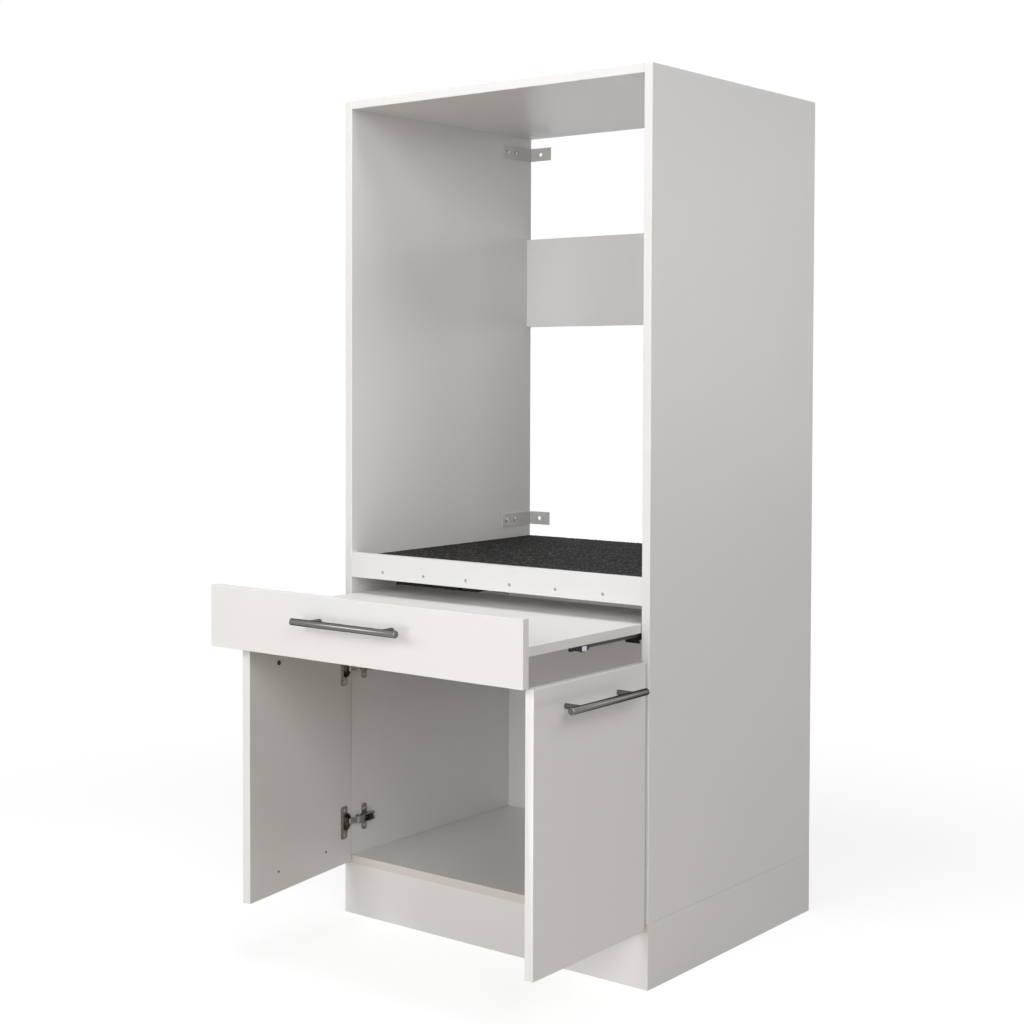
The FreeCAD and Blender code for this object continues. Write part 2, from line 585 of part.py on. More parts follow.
def draw_slide(side, sign):
    """Telescopic slide of three nested steel members that lie flat under one edge of the pull-out board."""
    half = "(slide_width / 2)"
    inside = f"({half} - slide_gauge)"
    neck = "(slide_neck / 2)"
    slot = f"({neck} + 2 * slide_play)"
    head = f"({inside} - slide_play)"
    wall = f"(-{half} - slide_offset)"
    wall_in = f"({wall} + slide_gauge)"
    cabinet = [(wall, under(7, 6)), (half, under(7, 6)), (half, under(4, 4)), (slot, under(4, 4)),
               (slot, under(5, 4)), (inside, under(5, 4)), (inside, under(6, 6)), (f"-{inside}", under(6, 6)),
               (f"-{inside}", under(5, 4)), (f"-{slot}", under(5, 4)), (f"-{slot}", under(4, 4)),
               (f"-{half}", under(4, 4)), (f"-{half}", under(6, 6)), (wall_in, under(6, 6)),
               (wall_in, under(1, 1)), (wall, under(1, 1))]
    trough = [(slot, under(2, 1)), (inside, under(2, 1)), (inside, under(3, 3))]
    outside = [(slot, under(1, 1)), (half, under(1, 1)), (half, under(4, 3)), (neck, under(4, 3)),
               (neck, under(5, 5)), (head, under(5, 5)), (head, under(6, 5))]
    middle = both_halves(outside) + both_halves(trough)[::-1]
    cover_in = f"({half} + slide_play)"
    cover = f"({cover_in} + slide_gauge)"
    tip = f"({cover} + slide_flange)"
    skirt = [(cover, "-slide_drop"), (cover_in, "-slide_drop"), (cover_in, under(1, 0)), (neck, under(1, 0)),
             (neck, under(2, 2)), (head, under(2, 2)), (head, under(3, 2))]
    drawer = [("0", "0"), (tip, "0"), (tip, under(1, 0)), (cover, under(1, 0))]
    drawer += both_halves(skirt) + [(f"-{cover}", "0")]
    half_way = "pullout_shown / 2"
    members = (("cabinet", cabinet, "0"), ("middle", middle, half_way), ("drawer", drawer, "pullout_shown"))
    for member, outline, drawn in members:
        rail = body(f"Slide_{member}_{side}")
        section = [(f"{-sign} * ({across})", up) for across, up in outline]
        pad(rail, sketch(rail, "XZ_Plane", "0", [section]), "slide_length")
        place(rail, f"{sign} * {SLIDE_MIDDLE}", f"{SLIDE_REAR} - {drawn}", PULLOUT_UNDERSIDE)
        keep(f"{side}_slide_{member}_member", rail)
    return draw_catch(side, sign, f"{SLIDE_MIDDLE} + {cover}")


def draw_catch(side, sign, near):
    """Flat catch with a nose and a tab, on the outer side of a drawer member's front end."""
    catch = body(f"Catch_{side}")
    nose = "(catch_overlap - catch_length)"
    lever = [("catch_overlap", "0"), ("catch_overlap", "-catch_height"), ("0", "-catch_height"),
             ("0", "-catch_tab_drop"), ("-catch_tab_length", "-catch_tab_drop"),
             ("-catch_tab_length", "-catch_nose_height"), (nose, "-catch_nose_height"), (nose, "0")]
    pad(catch, sketch(catch, "YZ_Plane", span(sign, near, "catch_width"), [lever]), "catch_width")
    place(catch, "0", f"{SLIDE_REAR} - pullout_shown - slide_length", PULLOUT_UNDERSIDE)
    return catch


def handle(prefix, middle, face, level, hang_up):
    """Bar handle on two posts, screwed through its front from behind."""
    bar_line = f"{face} - handle_projection"
    straight = "handle_length - 2 * handle_chamfer"
    bar = ("+x", f"{middle} - ({straight}) / 2", bar_line, level, "handle_bar_radius", straight)
    end_radius = "handle_bar_radius - handle_chamfer"
    ends = []
    for way in ("-x", "+x"):
        start = moved((middle, bar_line, level), way, f"({straight}) / 2")
        ends.append(cone(way, *start, "handle_bar_radius", end_radius, "handle_chamfer"))
    posts = []
    screws = []
    for sign in (-1, 1):
        across = f"{middle} {sign:+d} * handle_spacing / 2"
        post = rod("-y", across, face, level, "handle_post_radius", "handle_projection")
        socket = rod("-y", across, face, level, "screw_radius + screw_play", "handle_screw_grip + screw_play")
        posts.append(cut(post, [rod(*bar), socket]))
        seat = (across, f"{face} + front_thickness", level)
        screws.append(screw("-y", seat, "screw_radius", "front_thickness + handle_screw_grip"))
    pieces = (("bar", fused([rod(*bar)] + ends)), ("posts", compound(posts)), ("screws", compound(screws)))
    for name, item in pieces:
        hang_up(item)
        keep(f"{prefix}_handle_{name}", item)


def draw_pullout():
    """Pull-out: a board on two slides behind a full-width front with a bar handle."""
    width = "cabinet_width - 2 * edge_reveal"
    blank("pullout_front", f"-({width}) / 2", PULLOUT_FACE, PULLOUT_BOTTOM, width, "front_thickness",
          "pullout_front_height")
    board_half = f"({INNER} - pullout_board_play)"
    blank("pullout_board", f"-{board_half}", PULLOUT_BACK, PULLOUT_UNDERSIDE, f"2 * {board_half}",
          "pullout_board_length", "board")
    level = f"{PULLOUT_UNDERSIDE} + board / 2"
    front_dowels = []
    for number in (-1, 0, 1):
        point = (f"{number} * front_dowel_pitch", PULLOUT_BACK, level)
        dowel("+y", "pullout_front", "pullout_board", point, store=front_dowels)
    keep("pullout_dowels", compound(front_dowels))
    handle_level = f"{PULLOUT_BOTTOM} + pullout_front_height - pullout_handle_drop"
    for sign in (-1, 1):
        point = (f"{sign} * handle_spacing / 2", PULLOUT_BACK, handle_level)
        bore("pullout_front", "-y", point, "handle_hole_radius", "front_thickness")
    handle("pullout", "0", PULLOUT_FACE, handle_level, lambda item: None)
    catches = [draw_slide(side, sign) for side, sign in SIDES]
    keep("slide_catches", compound(catches))


def draw_door(side, sign):
    """Door with bores for its hinge cups, through holes for its handle and spare holes at the other end."""
    name = f"{side}_door"
    blank(name, span(-sign, DOOR_EDGE, DOOR_WIDTH), DOOR_FACE, "door_bottom", DOOR_WIDTH, "front_thickness",
          "door_height")
    middle = f"{-sign} * ({DOOR_EDGE} + {DOOR_WIDTH} / 2)"
    handle_level = f"{DOOR_TOP} - handle_edge_distance"
    spare_level = "door_bottom + handle_edge_distance"
    for step in (-1, 1):
        across = f"{middle} {step:+d} * handle_spacing / 2"
        bore(name, "-y", (across, DOOR_BACK, handle_level), "handle_hole_radius", "front_thickness")
        bore(name, "-y", (across, DOOR_BACK, spare_level), "handle_hole_radius", "spare_hole_depth")
    handle(name, middle, DOOR_FACE, handle_level, lambda item: hang(item, side, sign))
    pins = []
    for level, height in hinge_levels():
        cup_spot = (f"{-sign} * {CUP_MIDDLE}", DOOR_BACK, height)
        bore(name, "-y", cup_spot, "cup_bore_radius", "cup_bore_depth")
        draw_hinge_cup(side, sign, level, height)
        pins.append(rod("+z", "0", "0", f"{height} - pin_length / 2", "pin_radius", "pin_length"))
    pin_group = compound(pins)
    hang(pin_group, side, sign)
    keep(f"{side}_hinge_pins", pin_group)


def hinge_levels():
    """Give the heights of a door's two hinges."""
    return (("lower", "(door_bottom + hinge_end_distance)"), ("upper", f"({DOOR_TOP} - hinge_end_distance)"))


def draw_hinge_cup(side, sign, level, height):
    """Hinge cup with a winged flange and two lugs that hold the pin."""
    cup = body(f"Cup_{level}_{side}")
    across = f"{-sign} * {CUP_MIDDLE}"
    outer = "cup_bore_radius - cup_play"
    inner = "cup_bore_radius - cup_wall"
    floor_below = f"{DOOR_BACK} - cup_bore_depth + cup_play"
    floor_top = f"{floor_below} + cup_floor"
    disc = sketch(cup, "XZ_Plane", f"-({floor_top})", circles=[(across, "0", outer)])
    pad(cup, disc, "cup_floor")
    ring = sketch(cup, "XZ_Plane", f"-({DOOR_BACK})", circles=[(across, "0", outer), (across, "0", inner)])
    pad(cup, ring, "cup_bore_depth - cup_play - cup_floor")
    flange_top = f"-({DOOR_BACK} + flange_thickness)"
    rim = sketch(cup, "XZ_Plane", flange_top,
                 circles=[(across, "0", "cup_bore_radius + flange_rim"), (across, "0", inner)])
    pad(cup, rim, "flange_thickness")
    reach = f"({CUP_MIDDLE} + cup_bore_radius + flange_rim)"
    beside = f"{-sign} * ({reach} - flange_cover / 2)"
    cover = rectangle(f"{beside} - flange_cover / 2", f"-({inner})", f"{beside} + flange_cover / 2", inner)
    pad(cup, sketch(cup, "XZ_Plane", flange_top, [cover]), "flange_thickness")
    middle = f"{-sign} * ({reach} - flange_width / 2)"
    for end in (-1, 1):
        wing = rectangle(f"{middle} - flange_width / 2", f"{end} * ({inner})",
                         f"{middle} + flange_width / 2", f"{end} * flange_length / 2")
        pad(cup, sketch(cup, "XZ_Plane", flange_top, [wing]), "flange_thickness")
        lug = rectangle("-lug_reach", f"{DOOR_BACK} - cup_bore_depth + cup_play", "lug_reach", "lug_reach")
        start = "arm_foot_width / 2 + lug_gap"
        base = f"{start}" if end > 0 else f"-({start}) - lug_thickness"
        seat = [("0", "0", "pin_radius + pin_seat_play")]
        last = pad(cup, sketch(cup, "XY_Plane", base, [lug], seat), "lug_thickness")
    corners = rectangle(f"{middle} - flange_width / 2", "-flange_length / 2",
                        f"{middle} + flange_width / 2", "flange_length / 2")
    round_edges(cup, last, Y_AXIS, corners, "flange_corner")
    hang(cup, side, sign, height)
    keep(f"{side}_{level}_hinge_cup", cup)


def draw_hinge_mounts(side, sign):
    """Hinge arms with an eye on the pin, on cross-shaped mounting plates screwed to the side panel."""
    plates = []
    screws = []
    panel = f"{side}_side_panel"
    wall = "(board - hinge_axis_inset)"
    plate_middle = "(hinge_axis_forward + plate_setback)"
    plate_rear = f"({plate_middle} + plate_length / 2)"
    plate_front = f"({plate_middle} - plate_length / 2)"
    body_thickness = f"(arm_offset - {wall})"
    for level, height in hinge_levels():
        arm = body(f"Arm_{level}_{side}")
        eye = [("0", "0", "eye_radius"), ("0", "0", "pin_radius + pin_play")]
        pad(arm, sketch(arm, "XY_Plane", "0", circles=eye), "arm_foot_width", both_ways=True)
        foot_start = "(pin_radius + eye_radius) / 2"
        foot_half = "foot_thickness / 2"
        arm_end = "(arm_offset + arm_thickness)"
        foot = [(foot_start, f"-{foot_half}"), (arm_end, f"-{foot_half}"), (arm_end, plate_front),
                ("arm_offset", plate_front), ("arm_offset", foot_half), (foot_start, foot_half)]
        outline = [(f"{-sign} * ({x})", y) for x, y in foot]
        pad(arm, sketch(arm, "XY_Plane", "0", [outline]), "arm_foot_width", both_ways=True)
        rear = rectangle(f"{-sign} * arm_offset", plate_front, f"{-sign} * {arm_end}", plate_rear)
        last = pad(arm, sketch(arm, "XY_Plane", "0", [rear]), "arm_width", both_ways=True)
        last = round_edges(arm, last, Z_AXIS, [(f"{-sign} * {arm_end}", f"-{foot_half}")], "arm_bend")
        for end, radius in ((plate_front, "arm_shoulder"), (plate_rear, "arm_corner")):
            corners = [(end, f"{step} * arm_width / 2") for step in (-1, 1)]
            last = round_edges(arm, last, X_AXIS, corners, radius)
        hang(arm, side, sign, height, opened=False)
        outwards = "+x" if sign > 0 else "-x"
        face = f"{sign} * ({OUTER} - hinge_axis_inset - {arm_end})"
        slot_end = f"{FRONT} + plate_setback + plate_length / 2 - arm_slot_length"
        low = span(sign, f"{OUTER} - hinge_axis_inset - {arm_end}", "arm_thickness")
        slot = [rod(outwards, face, slot_end, height, "arm_slot_radius", "arm_thickness"),
                box(low, slot_end, f"{height} - arm_slot_radius", "arm_thickness", "arm_slot_length",
                    "2 * arm_slot_radius")]
        keep(f"{side}_{level}_hinge_arm", cut(arm, slot))

        plate = body(f"Plate_{level}_{side}")
        spine = rectangle(plate_front, "-plate_body_width / 2", plate_rear, "plate_body_width / 2")
        wings = rectangle(f"{plate_middle} - plate_wing_width / 2", "-plate_wing_span / 2",
                          f"{plate_middle} + plate_wing_width / 2", "plate_wing_span / 2")
        for outline, thickness in ((spine, body_thickness), (wings, "plate_wing_thickness")):
            low = span(-sign, wall, thickness)
            last = pad(plate, sketch(plate, "YZ_Plane", low, [outline]), thickness)
        round_edges(plate, last, X_AXIS, wings, "plate_corner")
        hang(plate, side, sign, height, opened=False)
        tools = []
        for step in (-1, 1):
            screw_level = f"{height} {step:+d} * plate_screw_pitch / 2"
            on_wall = (f"{sign} * {INNER}", f"{FRONT} + plate_setback", screw_level)
            seat = moved(on_wall, OPPOSITE[outwards], "plate_wing_thickness")
            length = "plate_wing_thickness + plate_screw_length"
            screws.append(screw(outwards, seat, "screw_radius", length))
            hole = "screw_radius + screw_play"
            tools.append(rod(outwards, *seat, hole, "plate_wing_thickness"))
            bore(panel, outwards, on_wall, hole, "plate_screw_length + screw_play")
        plates.append(cut(plate, tools))
    keep(f"{side}_hinge_plates", compound(plates))
    return screws


def finish_boards():
    """Drill every board and hang the doors."""
    for name, block in blanks.items():
        block.Label = f"{name} blank"
        board = cut(block, cuts[name]) if cuts[name] else block
        for side, sign in SIDES:
            if name == f"{side}_door":
                hang(board, side, sign)
        keep(name, board)


def check_and_write():
    """Check every object and every piece, then write one file for each piece."""
    doc.recompute()
    for item in doc.Objects:
        if "Invalid" in item.State or "Error" in item.State:
            raise RuntimeError(f"{item.Label} failed: {item.State}")
    for label, item in parts.items():
        if item.Shape.isNull() or not item.Shape.isValid() or not item.Shape.Solids:
            raise RuntimeError(f"{label} has no valid solid")
    os.makedirs("parts", exist_ok=True)
    for label, item in parts.items():
        item.Shape.exportStep(f"parts/{label}.step")
        print(label, len(item.Shape.Solids), round(item.Shape.Volume))
    print(len(parts), "pieces")


draw_plinth()
draw_carcass()
draw_platform()
draw_cupboard_back()
join_carcass()
draw_brackets()
draw_pullout()
plate_screws = []
for side, sign in SIDES:
    draw_door(side, sign)
    plate_screws += draw_hinge_mounts(side, sign)
keep("hinge_plate_screws", compound(plate_screws))
keep("wood_dowels", compound(dowels))
keep("cam_locks", compound(cam_locks))
keep("cam_bolts", compound(cam_bolts))
finish_boards()
check_and_write()
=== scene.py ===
"""Looks of a washing machine cabinet: finishes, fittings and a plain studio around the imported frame."""
import json
import logging
import math
from dataclasses import dataclass, field
from enum import Enum
from typing import Any, Callable, Iterable

import bmesh
import bpy
import numpy as np
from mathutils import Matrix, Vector

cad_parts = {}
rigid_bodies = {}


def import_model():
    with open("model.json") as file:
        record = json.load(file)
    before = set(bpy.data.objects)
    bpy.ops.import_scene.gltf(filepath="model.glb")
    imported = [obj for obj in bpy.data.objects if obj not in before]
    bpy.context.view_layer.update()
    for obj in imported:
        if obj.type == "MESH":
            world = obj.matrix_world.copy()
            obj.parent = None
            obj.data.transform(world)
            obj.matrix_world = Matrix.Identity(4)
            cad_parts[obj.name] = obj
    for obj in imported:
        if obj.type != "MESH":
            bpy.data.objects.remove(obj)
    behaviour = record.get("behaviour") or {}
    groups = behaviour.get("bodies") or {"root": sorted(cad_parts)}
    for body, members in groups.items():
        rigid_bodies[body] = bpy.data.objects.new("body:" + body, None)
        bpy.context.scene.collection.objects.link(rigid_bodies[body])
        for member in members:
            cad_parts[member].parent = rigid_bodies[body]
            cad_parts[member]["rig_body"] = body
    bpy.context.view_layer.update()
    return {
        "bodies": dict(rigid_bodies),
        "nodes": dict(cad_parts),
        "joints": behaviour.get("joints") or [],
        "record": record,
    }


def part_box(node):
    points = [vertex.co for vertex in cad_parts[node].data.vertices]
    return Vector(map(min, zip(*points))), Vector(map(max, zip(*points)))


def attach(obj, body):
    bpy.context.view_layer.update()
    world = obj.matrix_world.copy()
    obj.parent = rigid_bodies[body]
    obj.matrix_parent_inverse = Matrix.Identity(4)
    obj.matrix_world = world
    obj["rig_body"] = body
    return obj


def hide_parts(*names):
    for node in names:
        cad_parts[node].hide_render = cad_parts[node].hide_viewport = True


Colour = tuple[float, float, float]
Spot = tuple[float, float, float]
Pair = tuple[float, float]
Bar = tuple[Pair, Pair, float]
Array = np.ndarray
Material = bpy.types.Material
Object = bpy.types.Object
MM = 0.001
WHITE = (1.0, 1.0, 1.0)
# Boards are raw behind this Y and below this Z, just inside their rear edges and their feet.
REAR_EDGE = 0.30585
FOOT = 0.00015
# Angles in degrees from which edges stay sharp: on fittings, on turned parts and on the mat.
HARD_ANGLE = 30.0
TURNED_ANGLE = 40.0
MAT_ANGLE = 80.0
log = logging.getLogger("cabinet")


class Side(Enum):
    """The two sides of the cabinet, with the sign of their X."""

    LEFT = -1
    RIGHT = 1

    def __str__(self) -> str:
        """Name the side as the frame's nodes do."""
        return self.name.lower()


def operator(operation: str) -> Callable[["Wire", Any], "Wire"]:
    """Make an operator of a Wire that adds a Math node."""
    return lambda wire, other: wire.graph.math(operation, wire, other)


@dataclass(eq=False)
class Wire:
    """One value in a node tree; arithmetic adds Math nodes, and a comparison gives one or zero."""

    graph: "Graph"
    socket: bpy.types.NodeSocket
    __add__ = __radd__ = operator("ADD")
    __sub__ = operator("SUBTRACT")
    __mul__ = __rmul__ = operator("MULTIPLY")
    __gt__ = operator("GREATER_THAN")
    __lt__ = operator("LESS_THAN")
    __or__ = operator("MAXIMUM")

    def __rsub__(self, other: float) -> "Wire":
        """Take the value from a number."""
        return self.graph.math("SUBTRACT", other, self)


@dataclass
class Graph:
    """Node tree of one material or of the world.

    The numbers are the stops of a new ramp, and the places of a Mix node's two colours and result.
    """

    RAMP_STOPS = 2
    MIX_FIRST = 6
    MIX_SECOND = 7
    MIX_RESULT = 2
    owner: Material | bpy.types.World

    def __post_init__(self) -> None:
        """Start with an empty tree."""
        self.owner.use_nodes = True
        self.owner.node_tree.nodes.clear()

    @classmethod
    def named(cls, name: str) -> "Graph":
        """Start the tree of a new material."""
        return cls(bpy.data.materials.new(name))

    def node(self, kind: str, values: dict[Any, Any], **settings: str) -> bpy.types.Node:
        """Add a node.

        Args:
            kind: type of the node without its prefix.
            values: number, colour or Wire for each named or numbered input.
            settings: properties of the node.

        Returns:
            The new node.
        """
        made = self.owner.node_tree.nodes.new("ShaderNode" + kind)
        for key, value in settings.items():
            setattr(made, key, value)
        for key, value in values.items():
            self.feed(made.inputs[key], value)
        return made

    def feed(self, socket: bpy.types.NodeSocket, value: Any) -> None:
        """Link a Wire to an input, or set a constant on it.

        Args:
            socket: the input.
            value: Wire, number or colour.
        """
        if isinstance(value, Wire):
            self.owner.node_tree.links.new(value.socket, socket)
        else:
            socket.default_value = (*value, 1.0) if socket.type == "RGBA" else value

    def wire(self, kind: str, values: dict[Any, Any], output: Any = 0, **settings: str) -> Wire:
        """Add a node and give one of its outputs."""
        return Wire(self, self.node(kind, values, **settings).outputs[output])

    def math(self, operation: str, first: Wire | float, second: Wire | float) -> Wire:
        """Add a Math node for two values."""
        return self.wire("Math", {0: first, 1: second}, operation=operation)

    def mix(self, factor: Wire, first: Wire | Colour, second: Wire | Colour) -> Wire:
        """Mix two colours by a factor."""
        values = {0: factor, self.MIX_FIRST: first, self.MIX_SECOND: second}
        return self.wire("Mix", values, self.MIX_RESULT, data_type="RGBA")

    def place(self, output: str = "Object") -> Wire:
        """Give the coordinates of a piece, Object or UV."""
        return self.wire("TexCoord", {}, output)

    def stretched(self, scale: Spot, output: str = "Object") -> Wire:
        """Give coordinates that are multiplied along each axis."""
        return self.wire("Mapping", {"Vector": self.place(output), "Scale": scale})

    def noise(self, scale: float, detail: float = 2.0, at: Wire | None = None) -> Wire:
        """Give a noise around one half, by its waves to the metre, its octaves and its coordinates."""
        values = {"Vector": at or self.place(), "Scale": scale, "Detail": detail}
        return self.wire("TexNoise", values, "Fac")

    def cells(self, scale: float, output: str, at: Wire | None = None) -> Wire:
        """Give the distance to, or the random colour of, the nearest of many scattered cells."""
        return self.wire("TexVoronoi", {"Vector": at or self.place(), "Scale": scale}, output)

    def tones(self, scale: float, at: Wire | None = None) -> Wire:
        """Give a random value for each of many scattered cells."""
        return self.wire("SeparateColor", {0: self.cells(scale, "Color", at)})

    def axis(self, letter: str) -> Wire:
        """Give one Object coordinate."""
        return self.wire("SeparateXYZ", {0: self.place()}, letter)

    def ramp(self, value: Wire, stops: Iterable[tuple[float, Colour]]) -> Wire:
        """Turn a value into a colour.

        Args:
            value: value from nought to one.
            stops: place and colour of each stop, at least two.

        Returns:
            The colour.
        """
        made = self.node("ValToRGB", {0: value})
        places = made.color_ramp.elements
        for index, (place, colour) in enumerate(stops):
            stop = places[index] if index < self.RAMP_STOPS else places.new(place)
            stop.position = place
            stop.color = (*colour, 1.0)
        return Wire(self, made.outputs[0])

    def shown(self) -> Wire:
        """Give one for rays that show the surroundings: from the camera, mirrored or let through."""
        camera, glossy, through = (self.wire("LightPath", {}, f"Is {kind} Ray")
                                   for kind in ("Camera", "Glossy", "Transmission"))
        return camera | glossy | through

    def blend(self, factor: Wire, first: Wire, second: Wire) -> Wire:
        """Mix two shaders by a factor."""
        return self.wire("MixShader", {0: factor, 1: first, 2: second})

    def bump(self, height: Wire, distance: float, strength: float = 1.0) -> Wire:
        """Turn a height from nought to one into a normal; the distance is the real height of one."""
        values = {"Height": height, "Distance": distance, "Strength": strength}
        return self.wire("Bump", values)

    def finish(self, values: dict[str, Any]) -> Material:
        """Close the tree with a Principled shader that has these inputs, and give the material."""
        self.node("OutputMaterial", {"Surface": self.wire("BsdfPrincipled", values)})
        return self.owner


@dataclass(frozen=True)
class Melamine:
    """White coated chipboard: fine pearl texture, semi-gloss, raw chips where an edge has no edging."""

    name: str
    tint: Colour = (0.80, 0.795, 0.785)
    shade: Colour = (0.775, 0.768, 0.757)
    chip_pale: Colour = (0.68, 0.55, 0.38)
    chip_light: Colour = (0.56, 0.42, 0.27)
    chip_dark: Colour = (0.30, 0.20, 0.115)
    # Darker colour on the front edges, before the limit along Y set further down: painted shade of those
    # edges.
    edge_shade: Colour = (0.70, 0.655, 0.64)
    gloss: float = 0.34
    mirror: float = 0.5
    raw_behind: float = 10.0
    raw_below: float = -10.0
    edge_shade_before: float = -10.0
    cloud_scale: float = 2.2
    gloss_scale: float = 11.0
    gloss_spread: float = 0.10
    pearl_scale: float = 900.0
    pearl_depth: float = 0.03 * MM
    chip_scale: float = 420.0
    chip_stretch: Spot = (0.45, 1.0, 1.4)
    chip_light_at: float = 0.45
    chip_relief: float = 6.0
    chip_rough: float = 0.5

    def material(self) -> Material:
        """Build the material: cloudy white, a darker colour painted as shade on the front edges before
        their limit, and chips behind and below theirs.

        Returns:
            The material.
        """
        graph = Graph.named(self.name)
        cloud = graph.noise(self.cloud_scale, detail=3.0)
        white = graph.mix(cloud, self.shade, self.tint)
        # Painted shade: the front edges, before their limit along Y, take the darker colour.
        white = graph.mix(graph.axis("Y") < self.edge_shade_before, white, self.edge_shade)
        raw = (graph.axis("Y") > self.raw_behind) | (graph.axis("Z") < self.raw_below)
        tones = graph.tones(self.chip_scale, graph.stretched(self.chip_stretch))
        chips = graph.ramp(tones, ((0.0, self.chip_dark), (self.chip_light_at, self.chip_light),
                                   (1.0, self.chip_pale)))
        bumps = graph.cells(self.chip_scale, "Distance") * raw * self.chip_relief
        relief = graph.noise(self.pearl_scale) * (1.0 - raw) + bumps
        patches = (graph.noise(self.gloss_scale, detail=3.0) - 0.5) * self.gloss_spread
        return graph.finish({"Base Color": graph.mix(raw, white, chips), "Specular IOR Level": self.mirror,
                             "Roughness": self.gloss + patches + raw * self.chip_rough,
                             "Normal": graph.bump(relief, self.pearl_depth)})


@dataclass(frozen=True)
class Granulate:
    """Bonded rubber crumb: black grains with a few grey ones."""

    name: str = "rubber granulate"
    black: Colour = (0.007, 0.007, 0.007)
    soot: Colour = (0.016, 0.015, 0.0145)
    fleck: Colour = (0.13, 0.125, 0.12)
    soot_at: float = 0.80
    fleck_at: float = 0.93
    grain: float = 330.0
    grain_depth: float = 0.6 * MM
    grain_share: float = 0.8
    roughness: float = 0.62
    skin: float = 800.0
    skin_rough: float = 0.25
    mirror: float = 0.10

    def material(self) -> Material:
        """Build the material: each cell is one crumb with its own tone.

        Returns:
            The material.
        """
        graph = Graph.named(self.name)
        crumb = graph.ramp(graph.tones(self.grain), ((0.0, self.black), (self.soot_at, self.soot),
                                                     (self.fleck_at, self.fleck), (1.0, self.fleck)))
        hollow = graph.cells(self.grain, "Distance")
        return graph.finish({"Base Color": crumb, "Specular IOR Level": self.mirror,
                             "Roughness": self.roughness + graph.noise(self.skin) * self.skin_rough,
                             "Normal": graph.bump(1.0 - hollow, self.grain_depth, self.grain_share)})


@dataclass(frozen=True)
class Metal:
    """Bare or plated metal with a directional or even grain."""

    name: str
    tint: Colour
    roughness: float
    grain: Spot = (300.0, 300.0, 300.0)
    grain_depth: float = 0.004 * MM
    cloud: float = 0.12
    on_surface: bool = False
    rim: Colour = WHITE
    cloud_scale: float = 35.0
    hair_rough: float = 0.22
    shadow: float = 0.82

    def material(self) -> Material:
        """Build the material: a noise that is long along the grain roughens and dents the surface.

        Returns:
            The material.
        """
        graph = Graph.named(self.name)
        along = graph.stretched(self.grain, "UV" if self.on_surface else "Object")
        hair = graph.noise(1.0, detail=4.0, at=along)
        cloud = graph.noise(self.cloud_scale, detail=3.0)
        dark = tuple(self.shadow * part for part in self.tint)
        rough = self.roughness + (hair - 0.5) * self.hair_rough + (cloud - 0.5) * self.cloud
        return graph.finish({"Base Color": graph.mix(hair, dark, self.tint), "Metallic": 1.0,
                             "Roughness": rough, "Specular Tint": self.rim,
                             "Normal": graph.bump(hair, self.grain_depth)})


@dataclass(frozen=True)
class Coat:
    """Paint or moulded plastic: an even colour with a fine skin."""

    name: str
    tint: Colour
    roughness: float
    mirror: float = 0.5
    skin: float = 700.0
    skin_depth: float = 0.02 * MM
    cloud_scale: float = 18.0
    gloss_spread: float = 0.16
    shadow: float = 0.86

    def material(self) -> Material:
        """Build the material: a fine skin with slightly uneven colour and gloss.

        Returns:
            The material.
        """
        graph = Graph.named(self.name)
        cloud = graph.noise(self.cloud_scale, detail=3.0)
        dark = tuple(self.shadow * part for part in self.tint)
        rough = self.roughness + (cloud - 0.5) * self.gloss_spread
        return graph.finish({"Base Color": graph.mix(cloud, dark, self.tint), "Roughness": rough,
                             "Specular IOR Level": self.mirror,
                             "Normal": graph.bump(graph.noise(self.skin), self.skin_depth)})


@dataclass(frozen=True)
class Beech:
    """Bare turned beech: long pores along the dowel."""

    name: str = "beech"
    light: Colour = (0.66, 0.48, 0.31)
    dark: Colour = (0.50, 0.34, 0.20)
    grain: Spot = (60.0, 900.0, 900.0)
    roughness: float = 0.6
    pore_rough: float = 0.2

    def material(self) -> Material:
        """Build the material: stretched noise for the pores.

        Returns:
            The material.
        """
        graph = Graph.named(self.name)
        pores = graph.noise(1.0, detail=3.0, at=graph.stretched(self.grain))
        return graph.finish({"Base Color": graph.mix(pores, self.dark, self.light),
                             "Roughness": self.roughness + pores * self.pore_rough})


